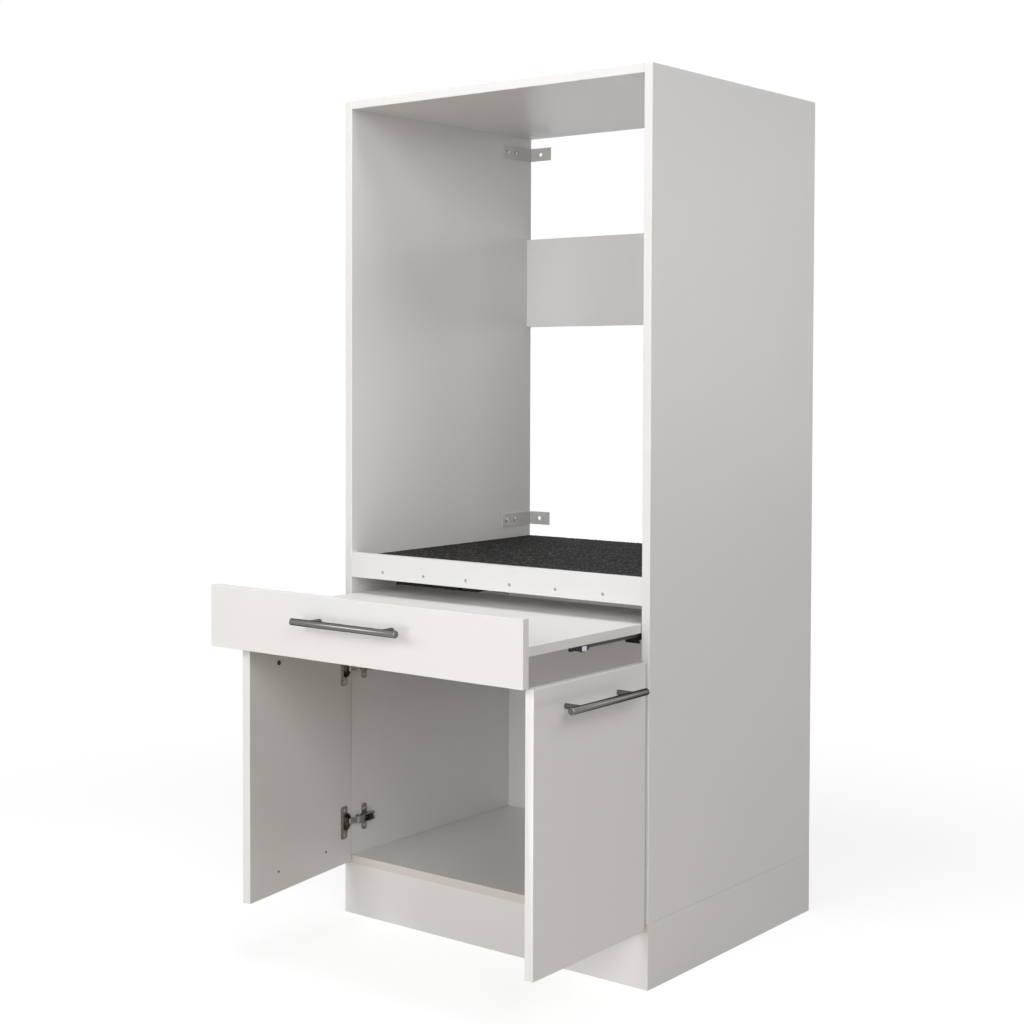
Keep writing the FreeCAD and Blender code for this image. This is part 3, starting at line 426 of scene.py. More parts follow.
class Finish(Enum):
    """Every finish on the cabinet, named for what it covers."""

    FRONTS = Melamine("white melamine fronts")
    CARCASS = Melamine("white melamine carcass", raw_behind=REAR_EDGE, raw_below=FOOT)
    # The front edges of the sides, the top and the bottom carry painted shade in a darker colour.
    SIDES = Melamine("white melamine sides", edge_shade=(0.745, 0.738, 0.728), raw_behind=REAR_EDGE,
                     raw_below=FOOT, edge_shade_before=-REAR_EDGE)
    BOTTOM = Melamine("white melamine bottom", raw_behind=REAR_EDGE, edge_shade_before=-REAR_EDGE)
    BOARD = Melamine("white melamine pull-out board", gloss=0.58, mirror=0.25)
    BACK = Melamine("white coated back", tint=(0.78, 0.77, 0.755), shade=(0.75, 0.74, 0.72), gloss=0.42)
    MAT = Granulate()
    HANDLE = Metal("brushed steel", (0.215, 0.208, 0.198), 0.18, grain=(2600.0, 30.0, 1.0),
                   grain_depth=0.006 * MM, cloud=0.06, on_surface=True, rim=(0.10, 0.10, 0.10))
    HINGE = Metal("nickel-plated steel", (0.40, 0.375, 0.345), 0.30)
    LINK = Metal("satin nickel", (0.46, 0.445, 0.42), 0.42)
    SCREW = Metal("zinc-plated steel", (0.56, 0.555, 0.54), 0.30)
    DARK_SCREW = Metal("blackened steel", (0.10, 0.097, 0.093), 0.36)
    SLIDE = Coat("black coated steel", (0.018, 0.018, 0.019), 0.38, 0.35)
    PLASTIC = Coat("black plastic", (0.007, 0.007, 0.007), 0.48, 0.14)
    BRACKET = Coat("light grey coated steel", (0.72, 0.718, 0.71), 0.36)
    CAP = Coat("white plastic", (0.80, 0.795, 0.785), 0.30)
    # Plugs in the spare holes: raw chipboard, darkened far below its own colour as painted shade of the
    # holes.
    HOLE = Coat("raw chipboard in a hole", (0.022, 0.015, 0.010), 0.85)
    DOWEL = Beech()


SLOT_FINISH = {
    "white_melamine": Finish.CARCASS,
    "white_back": Finish.BACK,
    "rubber_granulate": Finish.MAT,
    "black_plastic": Finish.PLASTIC,
    "black_steel": Finish.SLIDE,
    "brushed_steel": Finish.HANDLE,
    "hinge_nickel": Finish.HINGE,
    "bracket_steel": Finish.BRACKET,
    "cam_plastic": Finish.CAP,
    "beech": Finish.DOWEL,
    "screw_steel": Finish.SCREW,
}


def frame_along(way: Array) -> Array:
    """Give three right-handed unit vectors, the last along a way.

    Args:
        way: direction.

    Returns:
        Array with a vector in each row.
    """
    steep = 0.9
    forward = way / np.linalg.norm(way)
    helper = (0.0, 0.0, 1.0) if abs(forward[2]) < steep else (1.0, 0.0, 0.0)
    across = np.cross(helper, forward)
    across /= np.linalg.norm(across)
    return np.stack([across, np.cross(forward, across), forward])


def middle_of(points: Array) -> Array:
    """Give the middle of the box around some points."""
    return (points.min(axis=0) + points.max(axis=0)) / 2.0


def long_way(points: Array) -> Array:
    """Give the direction in which points around the origin reach farthest."""
    return np.linalg.svd(points, full_matrices=False)[2][0]


@dataclass
class Shape:
    """Grid surfaces that are collected into one mesh; points closer than the weld become one."""

    WELD = 0.0005 * MM
    grids: list[tuple[Array, Array, Array]] = field(default_factory=list)
    count: int = 0

    def grid(self, surface: Array, around: bool = False) -> None:
        """Add a surface that is given as a grid of points.

        Args:
            surface: rows by columns by three coordinates.
            around: whether the last column joins the first.
        """
        rows, columns = surface.shape[:2]
        ring = columns if around else columns - 1
        row, column = np.meshgrid(np.arange(rows - 1), np.arange(ring), indexing="ij")
        following = (column + 1) % columns
        base = row * columns + self.count
        corners = (base + column, base + following, base + columns + following, base + columns + column)
        along = np.linalg.norm(np.diff(surface, axis=0, prepend=surface[:1]), axis=2).mean(axis=1).cumsum()
        share = np.broadcast_to(np.arange(columns) / columns, (rows, columns))
        uvs = np.stack([share, np.broadcast_to(along[:, None], share.shape)], axis=-1)
        faces = np.stack(corners, axis=-1)
        self.grids.append((surface.reshape(-1, 3), faces.reshape(-1, 4), uvs.reshape(-1, 2)))
        self.count += rows * columns

    def turn(self, profile: Any, start: Array, way: Array, segments: int) -> None:
        """Turn a profile about an axis: radius times the circle, plus height along the axis.

        Args:
            profile: rows with a radius and a height, or with one of each for every segment.
            start: foot of the axis.
            way: direction of the axis.
            segments: points round the circle.
        """
        axes = frame_along(way)
        angle = np.linspace(0.0, 2.0 * np.pi, segments, endpoint=False)
        circle = np.cos(angle)[:, None] * axes[0] + np.sin(angle)[:, None] * axes[1]
        radius, height = np.atleast_3d(profile).swapaxes(0, 1)
        self.grid(start + radius[..., None] * circle + height[..., None] * axes[2], around=True)

    def beam(self, axis: int, along: Any, first: Any, second: Any) -> None:
        """Carry a rectangle along one axis and close both ends; its sides may step on the way.

        Args:
            axis: number of the axis.
            along: places along the axis, growing.
            first: low and high side along the axis that follows it in turn, numbers or one for each place.
            second: low and high side along the remaining axis.
        """
        places = np.asarray(along, float)
        corners = np.empty((len(places), 4, 3))
        corners[..., axis] = places[:, None]
        for step, pair, ring in ((1, first, (0, 1, 1, 0)), (2, second, (0, 0, 1, 1))):
            sides = [np.broadcast_to(np.asarray(side, float), places.shape) for side in pair]
            corners[..., (axis + step) % 3] = np.stack([sides[end] for end in ring], axis=1)
        ends = [np.broadcast_to(corners[end].mean(axis=0), (1, 4, 3)) for end in (0, -1)]
        self.grid(np.concatenate([ends[0], corners, ends[1]]), around=True)

    def build(self, name: str, smooth_angle: float) -> Object:
        """Make the mesh object.

        Args:
            name: name of the piece.
            smooth_angle: edges sharper than this angle in degrees stay sharp.

        Returns:
            The object, at the origin.
        """
        points, faces, uvs = (np.concatenate(part) for part in zip(*self.grids))
        mesh = bpy.data.meshes.new(name)
        mesh.from_pydata(points.tolist(), [], faces.tolist())
        layer = mesh.uv_layers.new(name="surface")
        layer.data.foreach_set("uv", uvs[faces.ravel()].astype(np.float32).ravel())
        mesh.polygons.foreach_set("use_smooth", np.ones(len(faces), dtype=bool))
        joined = bmesh.new()
        joined.from_mesh(mesh)
        bmesh.ops.remove_doubles(joined, verts=joined.verts, dist=self.WELD)
        joined.to_mesh(mesh)
        joined.free()
        mesh.validate()
        mesh.set_sharp_from_angle(angle=math.radians(smooth_angle))
        piece = bpy.data.objects.new(name, mesh)
        bpy.context.scene.collection.objects.link(piece)
        return piece


def rounded(points: list[Pair], radius: float, steps: int = 4) -> Array:
    """Round the corners of an open profile with arcs drawn as quadratic curves.

    Args:
        points: radius and height of each corner of the profile.
        radius: distance from a corner to the ends of its curve.
        steps: points on each curve.

    Returns:
        Radius and height of each point of the rounded profile.
    """
    corners = np.array(points, float)
    share = np.linspace(0.0, 1.0, steps)[:, None]
    rows = [corners[:1]]
    for before, corner, after in zip(corners[:-2], corners[1:-1], corners[2:]):
        first, last = (corner + (end - corner) / np.linalg.norm(end - corner) * radius
                       for end in (before, after))
        rows.append((1 - share) ** 2 * first + 2 * share * (1 - share) * corner + share ** 2 * last)
    rows.append(corners[-1:])
    return np.concatenate(rows)


@dataclass(frozen=True)
class Screw:
    """One screw: the middle of the seat under its head, the way its head faces, and its sizes.

    The cross, the dome and the tip are in shares of the head's radius, its height and the shank's radius.
    """

    RINGS = 24
    ARM_SIDE = (0.15, 0.07)
    ARM_END = (0.60, 0.10)
    RECESS = 0.55
    DOME_FALL = 0.4
    TIP = 0.8
    TAPER = 3.0
    SHANK_SEGMENTS = 20
    seat: Array
    way: Array
    head_radius: float
    head_height: float
    shank_radius: float = 0.0
    length: float = 0.0

    def add_to(self, shape: Shape, segments: int = 56) -> None:
        """Add a rounded head with a cross recess, and a pointed shank, to a shape.

        The head is a field of heights over rings: a dome that falls towards the rim, less the depth of
        the cross wherever a point lies in one of its two arms.

        Args:
            shape: shape that receives the surfaces.
            segments: points round the head.
        """
        share = np.linspace(1.0, 0.0, self.RINGS)[:, None]
        angle = np.linspace(0.0, 2.0 * np.pi, segments, endpoint=False)[None]
        across, along = share * np.cos(angle), share * np.sin(angle)
        arms = [self.within(a, *self.ARM_SIDE) * self.within(b, *self.ARM_END)
                for a, b in ((across, along), (along, across))]
        height = self.head_height * (1.0 - self.DOME_FALL * share ** 4 - self.RECESS * np.maximum(*arms))
        foot = np.zeros((2, segments))
        rings = np.concatenate([foot[:1], foot[:1] + 1.0, np.broadcast_to(share, height.shape)])
        heights = np.concatenate([foot, height])
        head = np.stack([rings * self.head_radius, heights], axis=1)
        shape.turn(head, self.seat, self.way, segments)
        if self.length > 0.0:
            radius, end = self.shank_radius, -self.length
            profile = [(0.0, end), (self.TIP * radius, end + radius), (radius, end + self.TAPER * radius),
                       (radius, 0.0), (0.0, 0.0)]
            shape.turn(profile, self.seat, self.way, self.SHANK_SEGMENTS)

    @staticmethod
    def within(place: Array, limit: float, edge: float) -> Array:
        """Give one within a limit on both sides of nought, and nought beyond, with a slope as edge."""
        return np.clip((limit - np.abs(place)) / edge + 0.5, 0, 1)


@dataclass
class Workshop:
    """What every sub-assembly needs: the frame, the materials made so far and the way to hand in a piece.

    The numbers are for reading screws: decimals of their points, steps that carry a label over a screw,
    share of its radius that counts as head, and depth under the head where the shank begins.
    """

    DECIMALS = 6
    STEPS = 40
    HEAD_SHARE = 0.9
    UNDER_HEAD = 0.5 * MM
    frame: dict[str, Any]
    made: dict[Finish, Material] = field(default_factory=dict)

    def paint(self, piece: Object, finish: Finish) -> None:
        """Give a piece one finish all over.

        Args:
            piece: mesh object.
            finish: the finish, whose material is built once.
        """
        if finish not in self.made:
            self.made[finish] = finish.value.material()
        if not piece.material_slots:
            piece.data.materials.append(self.made[finish])
        for slot in piece.material_slots:
            slot.material = self.made[finish]

    def body_of(self, node: str) -> str:
        """Name of the body that carries a node."""
        return self.frame["nodes"][node]["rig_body"]

    def corners(self, node: str) -> Array:
        """Read the points of a node's solid.

        Args:
            node: name of the node.

        Returns:
            Coordinates in metres, one row for each point.
        """
        mesh = self.frame["nodes"][node].data
        flat = np.empty(len(mesh.vertices) * 3, np.float32)
        mesh.vertices.foreach_get("co", flat)
        return flat.reshape(-1, 3).astype(float)

    def screws(self, node: str) -> list[Screw]:
        """Read the screws of a node from its solids.

        Points that edges join belong to one screw, so the lowest label spreads along the edges until each
        screw has one; its longest direction is its axis, and its head is at the wider end.

        Args:
            node: node that holds only screws.

        Returns:
            One entry for each screw.
        """
        corners = self.corners(node).round(self.DECIMALS)
        points, place = np.unique(corners, axis=0, return_inverse=True)
        mesh = self.frame["nodes"][node].data
        pairs = np.empty(len(mesh.edges) * 2, np.int32)
        mesh.edges.foreach_get("vertices", pairs)
        first, second = place.ravel()[pairs].reshape(-1, 2).T
        near = np.eye(len(points), dtype=bool)
        near[first, second] = True
        near[second, first] = True
        label = np.arange(len(points))
        for _ in range(self.STEPS):
            label = np.where(near, label[None], len(points)).min(axis=1)
        return [self.read_screw(points[label == number]) for number in np.unique(label)]

    def read_screw(self, points: Array) -> Screw:
        """Measure one screw.

        Args:
            points: its points.

        Returns:
            The screw.
        """
        middle = middle_of(points)
        way = long_way(points - middle)
        height = (points - middle) @ way
        radius = np.linalg.norm(points - middle - height[:, None] * way, axis=1)
        wide = radius > self.HEAD_SHARE * radius.max()
        if height[wide].mean() < 0.0:
            way, height = -way, -height
        seat = height[wide].min()
        thin = radius[height < seat - self.UNDER_HEAD].max()
        return Screw(middle + way * seat, way, radius.max(), height.max() - seat, thin, seat - height.min())

    def fit(self, shape: Shape, name: str, finish: Finish, slot: str, body: str, *nodes: str,
            angle: float = HARD_ANGLE) -> Object:
        """Make and paint a piece, let it ride on its body and stand for the nodes that it replaces.

        Args:
            shape: surfaces of the piece.
            name: its name.
            finish: its finish.
            slot: material slot of the record; not used.
            body: body that carries it.
            nodes: nodes that it replaces.
            angle: edges sharper than this angle in degrees stay sharp.

        Returns:
            The new piece.
        """
        piece = shape.build(name, angle)
        self.paint(piece, finish)
        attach(piece, body)
        if nodes:
            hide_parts(*nodes)
        log.info("%s rides on %s", piece.name, body)
        return piece


@dataclass
class Boards:
    """All boards and the small parts that keep the shape of their solids.

    Edges are eased more where the sides stand on the bottom panel, and less at the seams below.
    """

    WELD = 0.01 * MM
    ROUND_STEPS = 2
    SHARP = 60.0
    shop: Workshop
    ease: float = 0.6 * MM
    special_ease: dict[str, float] = field(default_factory=lambda: {
        **dict.fromkeys(("left_side_panel", "right_side_panel"), 1.1 * MM),
        **dict.fromkeys(("bottom_panel", "plinth_left", "plinth_right"), 0.2 * MM),
    })
    special: dict[str, Finish] = field(default_factory=lambda: {
        **dict.fromkeys(("left_door", "right_door", "pullout_front"), Finish.FRONTS),
        **dict.fromkeys(("left_side_panel", "right_side_panel", "top_panel"), Finish.SIDES),
        "pullout_board": Finish.BOARD,
        "bottom_panel": Finish.BOTTOM,
    })

    def dress(self) -> None:
        """Give every node its finish, and ease the edges of the boards."""
        for subpart in self.shop.frame["record"]["subparts"]:
            name, slot = subpart["node"], subpart["material_slot"]
            node = self.shop.frame["nodes"][name]
            self.shop.paint(node, self.special.get(name, SLOT_FINISH[slot]))
            if slot == "white_melamine":
                self.ease_edges(node, self.special_ease.get(name, self.ease))

    @classmethod
    def ease_edges(cls, node: Object, width: float) -> None:
        """Break the sharp edges of a board by a small round, as its edging has.

        Args:
            node: the board.
            width: width of the round.
        """
        weld = node.modifiers.new("join corners", "WELD")
        weld.merge_threshold = cls.WELD
        bevel = node.modifiers.new("eased edges", "BEVEL")
        bevel.width = width
        bevel.segments = cls.ROUND_STEPS
        bevel.limit_method = "ANGLE"
        bevel.angle_limit = math.radians(cls.SHARP)
        bevel.use_clamp_overlap = False
        bevel.loop_slide = False


@dataclass
class Mat:
    """Rubber granulate mat on the platform: a field of crumbs over a plain sheet."""

    shop: Workshop
    step: float = 2.3 * MM
    crumb: float = 4.2 * MM
    relief: float = 0.9 * MM
    least_lift: float = 0.45
    more_lift: float = 0.55
    dome: float = 0.75
    spare_cells: int = 3
    seed: int = 11

    def build(self) -> None:
        """Make the sheet: each point's height is a dome over the nearest of many jittered crumbs."""
        low, high = (np.array(corner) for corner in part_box("anti_vibration_mat"))
        columns, rows = np.ceil((high - low)[:2] / self.step).astype(int)
        x, y = np.meshgrid(np.linspace(low[0], high[0], columns), np.linspace(low[1], high[1], rows))
        fall = self.relief * (1.0 - self.domes(x - low[0], y - low[1]))
        top = np.stack([x, y, high[2] - fall], axis=-1)
        skirt = np.pad(top, ((1, 1), (1, 1), (0, 0)), mode="edge")
        for edge in (np.s_[0, :], np.s_[-1, :], np.s_[:, 0], np.s_[:, -1]):
            skirt[edge][..., 2] = low[2]
        shape = Shape()
        shape.grid(skirt)
        shape.grid(np.array([[(along, across, low[2]) for across in (low[1], high[1])]
                             for along in (low[0], high[0])]))
        self.shop.fit(shape, "granulate_mat", Finish.MAT, "rubber_granulate", "carcass",
                      "anti_vibration_mat", angle=MAT_ANGLE)

    def domes(self, x: Array, y: Array) -> Array:
        """Height from nought to one of a field of crumbs.

        The plane is divided into squares, each with one crumb at a random place; a point's height falls
        with its distance from the nearest crumb of its own and the eight squares beside it.

        Args:
            x: places along X.
            y: places along Y.

        Returns:
            Array of heights.
        """
        source = np.random.default_rng(self.seed)
        cells = np.ceil(np.array([x.max(), y.max()]) / self.crumb).astype(int) + self.spare_cells
        jitter = source.random((*cells, 2))
        lift = self.least_lift + self.more_lift * source.random(cells)
        column, row = (x / self.crumb).astype(int) + 1, (y / self.crumb).astype(int) + 1
        best = np.zeros_like(x)
        for step_x in (-1, 0, 1):
            for step_y in (-1, 0, 1):
                i, j = column + step_x, row + step_y
                gap_x = x / self.crumb + 1 - (i + jitter[i, j, 0])
                gap_y = y / self.crumb + 1 - (j + jitter[i, j, 1])
                dome = np.clip(1.0 - (gap_x ** 2 + gap_y ** 2) / self.dome ** 2, 0.0, 1.0)
                best = np.maximum(best, lift[i, j] * np.sqrt(dome))
        return best


@dataclass
class Handle:
    """Bar handle: a round bar with dished ends on two posts.

    The reach of the dish and the end of the posts are shares of the bar's radius, from its middle line.
    """

    shop: Workshop
    prefix: str
    chamfer: float = 0.9 * MM
    dish_depth: float = 0.25 * MM
    dish_edge: float = 0.05 * MM
    dish_reach: float = 0.7
    post_end: float = 0.55
    post_round: float = 0.35 * MM
    segments: int = 64

    def build(self) -> None:
        """Turn the bar about its own line and the posts about theirs."""
        node = f"{self.prefix}_handle_bar"
        bar = self.shop.corners(node)
        middle = middle_of(bar)
        bar -= middle
        level = bar * (1.0, 1.0, 0.0)
        far = level[np.argmax(np.linalg.norm(level, axis=1))]
        way = long_way(level)
        way *= np.sign(way @ far)
        reach = (bar @ way).max()
        radius = bar[:, 2].max()
        side = rounded([(0.0, -reach), (radius, -reach), (radius, reach), (0.0, reach)], self.chamfer)[1:-1]
        dish = np.array([(0.0, self.dish_depth), (radius * self.dish_reach, self.dish_edge)])
        profile = np.concatenate([dish + (0.0, -reach), side, dish[::-1] * (1, -1) + (0.0, reach)])
        shape = Shape()
        shape.turn(profile, middle, way, self.segments)
        body = self.shop.body_of(node)
        self.shop.fit(shape, f"{self.prefix}_satin_bar", Finish.HANDLE, "brushed_steel", body, node,
                      angle=TURNED_ANGLE)
        self.build_posts(middle, way, radius, body)

    def build_posts(self, middle: Array, way: Array, bar_radius: float, body: str) -> None:
        """Turn the two posts, which reach from the front's face into the bar.

        Args:
            middle: middle of the bar.
            way: direction of the bar.
            bar_radius: radius of the bar.
            body: body that carries the handle.
        """
        node = f"{self.prefix}_handle_posts"
        posts = self.shop.corners(node) - middle
        outwards = np.cross(way, (0.0, 0.0, 1.0))
        outwards *= -np.sign((posts @ outwards).mean())
        foot = (posts @ outwards).min()
        radius = posts[:, 2].max()
        spread = np.abs(posts @ way).max() - radius
        height = -foot - bar_radius * self.post_end
        profile = rounded([(0.0, 0.0), (radius, 0.0), (radius, height), (0.0, height)], self.post_round)
        shape = Shape()
        for end in (-1.0, 1.0):
            start = middle + way * spread * end + outwards * foot
            shape.turn(profile, start, outwards, self.segments // 2)
        self.shop.fit(shape, f"{self.prefix}_satin_posts", Finish.HANDLE, "brushed_steel", body, node,
                      angle=TURNED_ANGLE)


@dataclass
class Fasteners:
    """Screws with a cross recess in place of the plain ones of the solids."""

    shop: Workshop
    nodes: tuple[str, ...] = ("rail_screws", "bracket_screws", "hinge_plate_screws",
                              "pullout_handle_screws", "left_door_handle_screws",
                              "right_door_handle_screws")

    def build(self) -> None:
        """Make the screws of each node as one piece."""
        for node in self.nodes:
            shape = Shape()
            for screw in self.shop.screws(node):
                screw.add_to(shape)
            finish = Finish.DARK_SCREW if "handle" in node else Finish.SCREW
            self.shop.fit(shape, f"{node}_recessed", finish, "screw_steel", self.shop.body_of(node), node)


@dataclass
class SpareHoles:
    """Raw chipboard in the spare handle holes of one door, which mirror the holes of its handle, darkened
    to near black as painted shade of the holes.
    """

    shop: Workshop
    side: Side
    depth: float = 0.15 * MM
    radius: float = 2.15 * MM
    length: float = 8.5 * MM
    segments: int = 24

    def build(self) -> None:
        """Fill each spare hole with a plug whose end lies below the face of the door; its near-black colour
        is painted shade.
        """
        door = f"{self.side}_door"
        low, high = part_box(door)
        radius, length = self.radius, self.length
        profile = [(0.0, 0.0), (radius, 0.0), (radius, length), (0.0, length)]
        shape = Shape()
        for screw in self.shop.screws(f"{door}_handle_screws"):
            mouth = screw.seat * (1.0, 1.0, -1.0) + (0.0, 0.0, low[2] + high[2])
            start = mouth - screw.way * (self.depth + length)
            shape.turn(profile, start, screw.way, self.segments)
        self.shop.fit(shape, f"{door}_spare_holes", Finish.HOLE, "white_melamine", door, angle=TURNED_ANGLE)


@dataclass
class Hinges:
    """Small parts on the hinges of one door: links, arm channels, cup screws, adjusting and fixing screws.

    A bar on an arm has its start and end from the arm's front end, its low and high side from the middle,
    and how far it stands out; a screw has its distance from the rear end, its radius and its height. All
    are in millimetres.
    """

    shop: Workshop
    side: Side
    flange_flat: float = 0.05 * MM
    ear_screw: float = 4.0 * MM
    ear_screw_height: float = 1.0 * MM
    ear_inset: float = 7.5 * MM
    channel_ease: float = 0.5 * MM
    link: Bar = ((0.8, 21.4), (-4.9, 4.9), 0.8)
    lip: Bar = ((21.4, 23.0), (-5.6, 5.6), 2.6)
    channel: tuple[Bar, ...] = (((23.0, 39.0), (-7.0, 7.0), 4.0), ((39.0, 71.0), (5.8, 8.0), 4.0),
                                ((39.0, 71.0), (-8.0, -5.8), 4.0))
    # Thin black sheet in the channel's recess between its flanges: painted shade of the recess.
    well_shade: Bar = ((39.0, 70.0), (-5.8, 5.8), 0.4)
    fixing_screw: Spot = (11.0, 5.2, 1.9)
    adjusting_screw: Spot = (31.0, 3.6, 1.1)

    def build(self) -> None:
        """Put screws on each cup's flange, and a link, a channel with a black sheet of painted shade in its
        recess, and screws on each arm.
        """
        cups, screws, links, lips, channels, well_shades = (Shape() for _ in range(6))
        for level in ("lower", "upper"):
            self.add_cup_screws(cups, f"{self.side}_{level}_hinge_cup")
            arm = f"{self.side}_{level}_hinge_arm"
            self.add_arm_screws(screws, arm)
            self.add_bars(links, arm, self.link)
            self.add_bars(lips, arm, self.lip)
            self.add_bars(channels, arm, *self.channel)
            self.add_bars(well_shades, arm, self.well_shade)
        for shape, word, finish, slot, body in (
                (cups, "cup_screws", Finish.SCREW, "screw_steel", f"{self.side}_door"),
                (screws, "arm_screws", Finish.DARK_SCREW, "screw_steel", "carcass"),
                (links, "hinge_links", Finish.LINK, "hinge_nickel", "carcass"),
                (lips, "arm_lips", Finish.SCREW, "hinge_nickel", "carcass"),
                (channels, "arm_channels", Finish.HINGE, "hinge_nickel", "carcass"),
                # Black sheets in the channels: painted shade of their recesses.
                (well_shades, "arm_wells", Finish.PLASTIC, "black_plastic", "carcass")):
            piece = self.shop.fit(shape, f"{self.side}_{word}", finish, slot, body)
            if shape is channels:
                Boards.ease_edges(piece, self.channel_ease)

    def add_bars(self, shape: Shape, node: str, *bars: Bar) -> None:
        """Add bars on the inner face of an arm.

        Args:
            shape: shape that receives the bars.
            node: hinge arm.
            bars: the bars.
        """
        low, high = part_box(node)
        face = low[0] if self.side is Side.RIGHT else high[0]
        for along, heights, proud in bars:
            reach = sorted((face, face - self.side.value * proud * MM))
            level = (low[2] + high[2]) / 2.0 + np.array(heights) * MM
            shape.beam(1, low[1] + np.array(along) * MM, level, reach)

    def add_cup_screws(self, shape: Shape, node: str) -> None:
        """Add the two screws in the ears of a cup's flange.

        The flange is the flat of the cup that lies farthest out along the way that the door's inner face
        looks, so its points give the middle between its ears.

        Args:
            shape: shape that receives the screws.
            node: hinge cup.
        """
        points = self.shop.corners(node)
        way = self.face_of_door()
        out = points @ way
        flange = points[out > out.max() - self.flange_flat]
        middle = middle_of(flange)
        reach = np.array((0.0, 0.0, (flange[:, 2].max() - flange[:, 2].min()) / 2.0 - self.ear_inset))
        ears = flange[np.abs(flange[:, 2] - middle[2]) > reach[2]]
        ear = middle_of(ears) * (1.0, 1.0, 0.0) + middle * (0.0, 0.0, 1.0)
        for end in (-1.0, 1.0):
            Screw(ear + reach * end, way, self.ear_screw, self.ear_screw_height).add_to(shape)

    def face_of_door(self) -> Array:
        """Find the way that the inner face of the door looks, from the handle towards the door.

        Returns:
            Unit vector.
        """
        bar = self.shop.corners(f"{self.side}_door_handle_bar")
        posts = self.shop.corners(f"{self.side}_door_handle_posts")
        level = (bar - bar.mean(axis=0)) * (1.0, 1.0, 0.0)
        way = np.cross(long_way(level), (0.0, 0.0, 1.0))
        return way * np.sign((posts.mean(axis=0) - bar.mean(axis=0)) @ way)

    def add_arm_screws(self, shape: Shape, node: str) -> None:
        """Add the fixing screw in an arm's slot and the adjusting screw before it.

        Args:
            shape: shape that receives the screws.
            node: hinge arm.
        """
        low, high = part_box(node)
        way = np.array((-float(self.side.value), 0.0, 0.0))
        face = low[0] if self.side is Side.RIGHT else high[0]
        level = (low[2] + high[2]) / 2.0
        for before, radius, height in (self.fixing_screw, self.adjusting_screw):
            seat = np.array((face, high[1] - before * MM, level))
            Screw(seat, way, radius * MM, height * MM).add_to(shape)


@dataclass
class SlideStop:
    """Black plastic stop at the front end of a slide's middle member, wide below the path of the catch."""

    shop: Workshop
    side: Side
    thickness: float = 4.0 * MM
    room: float = 0.2 * MM
    reach: float = 322.6 * MM
    foot_reach: float = 328.4 * MM
    drop: float = 2.85 * MM
    foot_rise: float = 1.8 * MM
    rise: float = 5.0 * MM

    def build(self) -> None:
        """Carry the stop's height along X, with a step down to its foot."""
        low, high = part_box(f"{self.side}_slide_middle_member")
        turn = slice(None, None, self.side.value)
        inner = min(abs(low[0]), abs(high[0]))
        places = self.side.value * np.array((inner, self.reach, self.reach, self.foot_reach))[turn]
        tops = low[2] + np.array((self.rise, self.rise, self.foot_rise, self.foot_rise))[turn]
        shape = Shape()
        ends = (low[1] - self.thickness, low[1] - self.room)
        shape.beam(0, places, ends, (low[2] - self.drop, tops))
        self.shop.fit(shape, f"{self.side}_slide_stop", Finish.PLASTIC, "black_plastic",
                      f"{self.side}_slide_middle")


@dataclass
class Catches:
    """Catches at the front ends of both slides: a black lever with a nose and a wedge, and a bright spring.

    The profiles give millimetres behind the front end, and below the board or out from the lever.
    """

    shop: Workshop
    lever: tuple[Pair, ...] = ((0.0, 5.0), (2.0, 6.5), (12.0, 6.5), (14.0, 4.0), (17.0, 4.0), (17.0, 6.5),
                               (38.0, 11.5), (41.0, 11.5), (41.0, 9.0), (56.0, 9.0))
    spring: tuple[Pair, ...] = ((36.0, 0.2), (40.0, 0.5), (47.0, 0.5), (50.0, 0.2))
    spring_heights: Pair = (1.5, 9.5)

    def build(self) -> None:
        """Carry a rectangle along each lever's lower edge, and another along each spring's bend."""
        corners = self.shop.corners("slide_catches")
        levers, springs = Shape(), Shape()
        for side in Side:
            own = corners[corners[:, 0] * side.value > 0.0]
            low, high = own.min(axis=0), own.max(axis=0)
            behind, drop = np.array(self.lever).T * MM
            levers.beam(1, low[1] + behind, (high[2] - drop, high[2]), (low[0], high[0]))
            behind, proud = np.array(self.spring).T * MM
            outer = (high[0], high[0] + proud) if side is Side.RIGHT else (low[0] - proud, low[0])
            top, foot = high[2] - np.array(self.spring_heights) * MM
            springs.beam(1, low[1] + behind, (foot, top), outer)
        self.shop.fit(levers, "catch_levers", Finish.PLASTIC, "black_plastic", "pullout", "slide_catches")
        self.shop.fit(springs, "catch_springs", Finish.SCREW, "screw_steel", "pullout")


@dataclass(frozen=True)
class Lamp:
    """Square soft lamp: its place, the point that it faces, the length of its side, watts and colour."""

    NEUTRAL = (1.0, 0.997, 0.99)
    WARM = (1.0, 0.985, 0.965)
    name: str
    at: Spot
    aim: Spot
    size: float
    power: float
    colour: Colour = WHITE

    def hang(self) -> None:
        """Put the lamp into the scene."""
        data = bpy.data.lights.new(self.name, "AREA")
        data.shape = "SQUARE"
        data.size = self.size
        data.energy = self.power
        data.color = self.colour
        item = bpy.data.objects.new(self.name, data)
        item.location = self.at
        item.rotation_euler = (Vector(self.aim) - Vector(self.at)).to_track_quat("-Z", "Y").to_euler()
        bpy.context.scene.collection.objects.link(item)


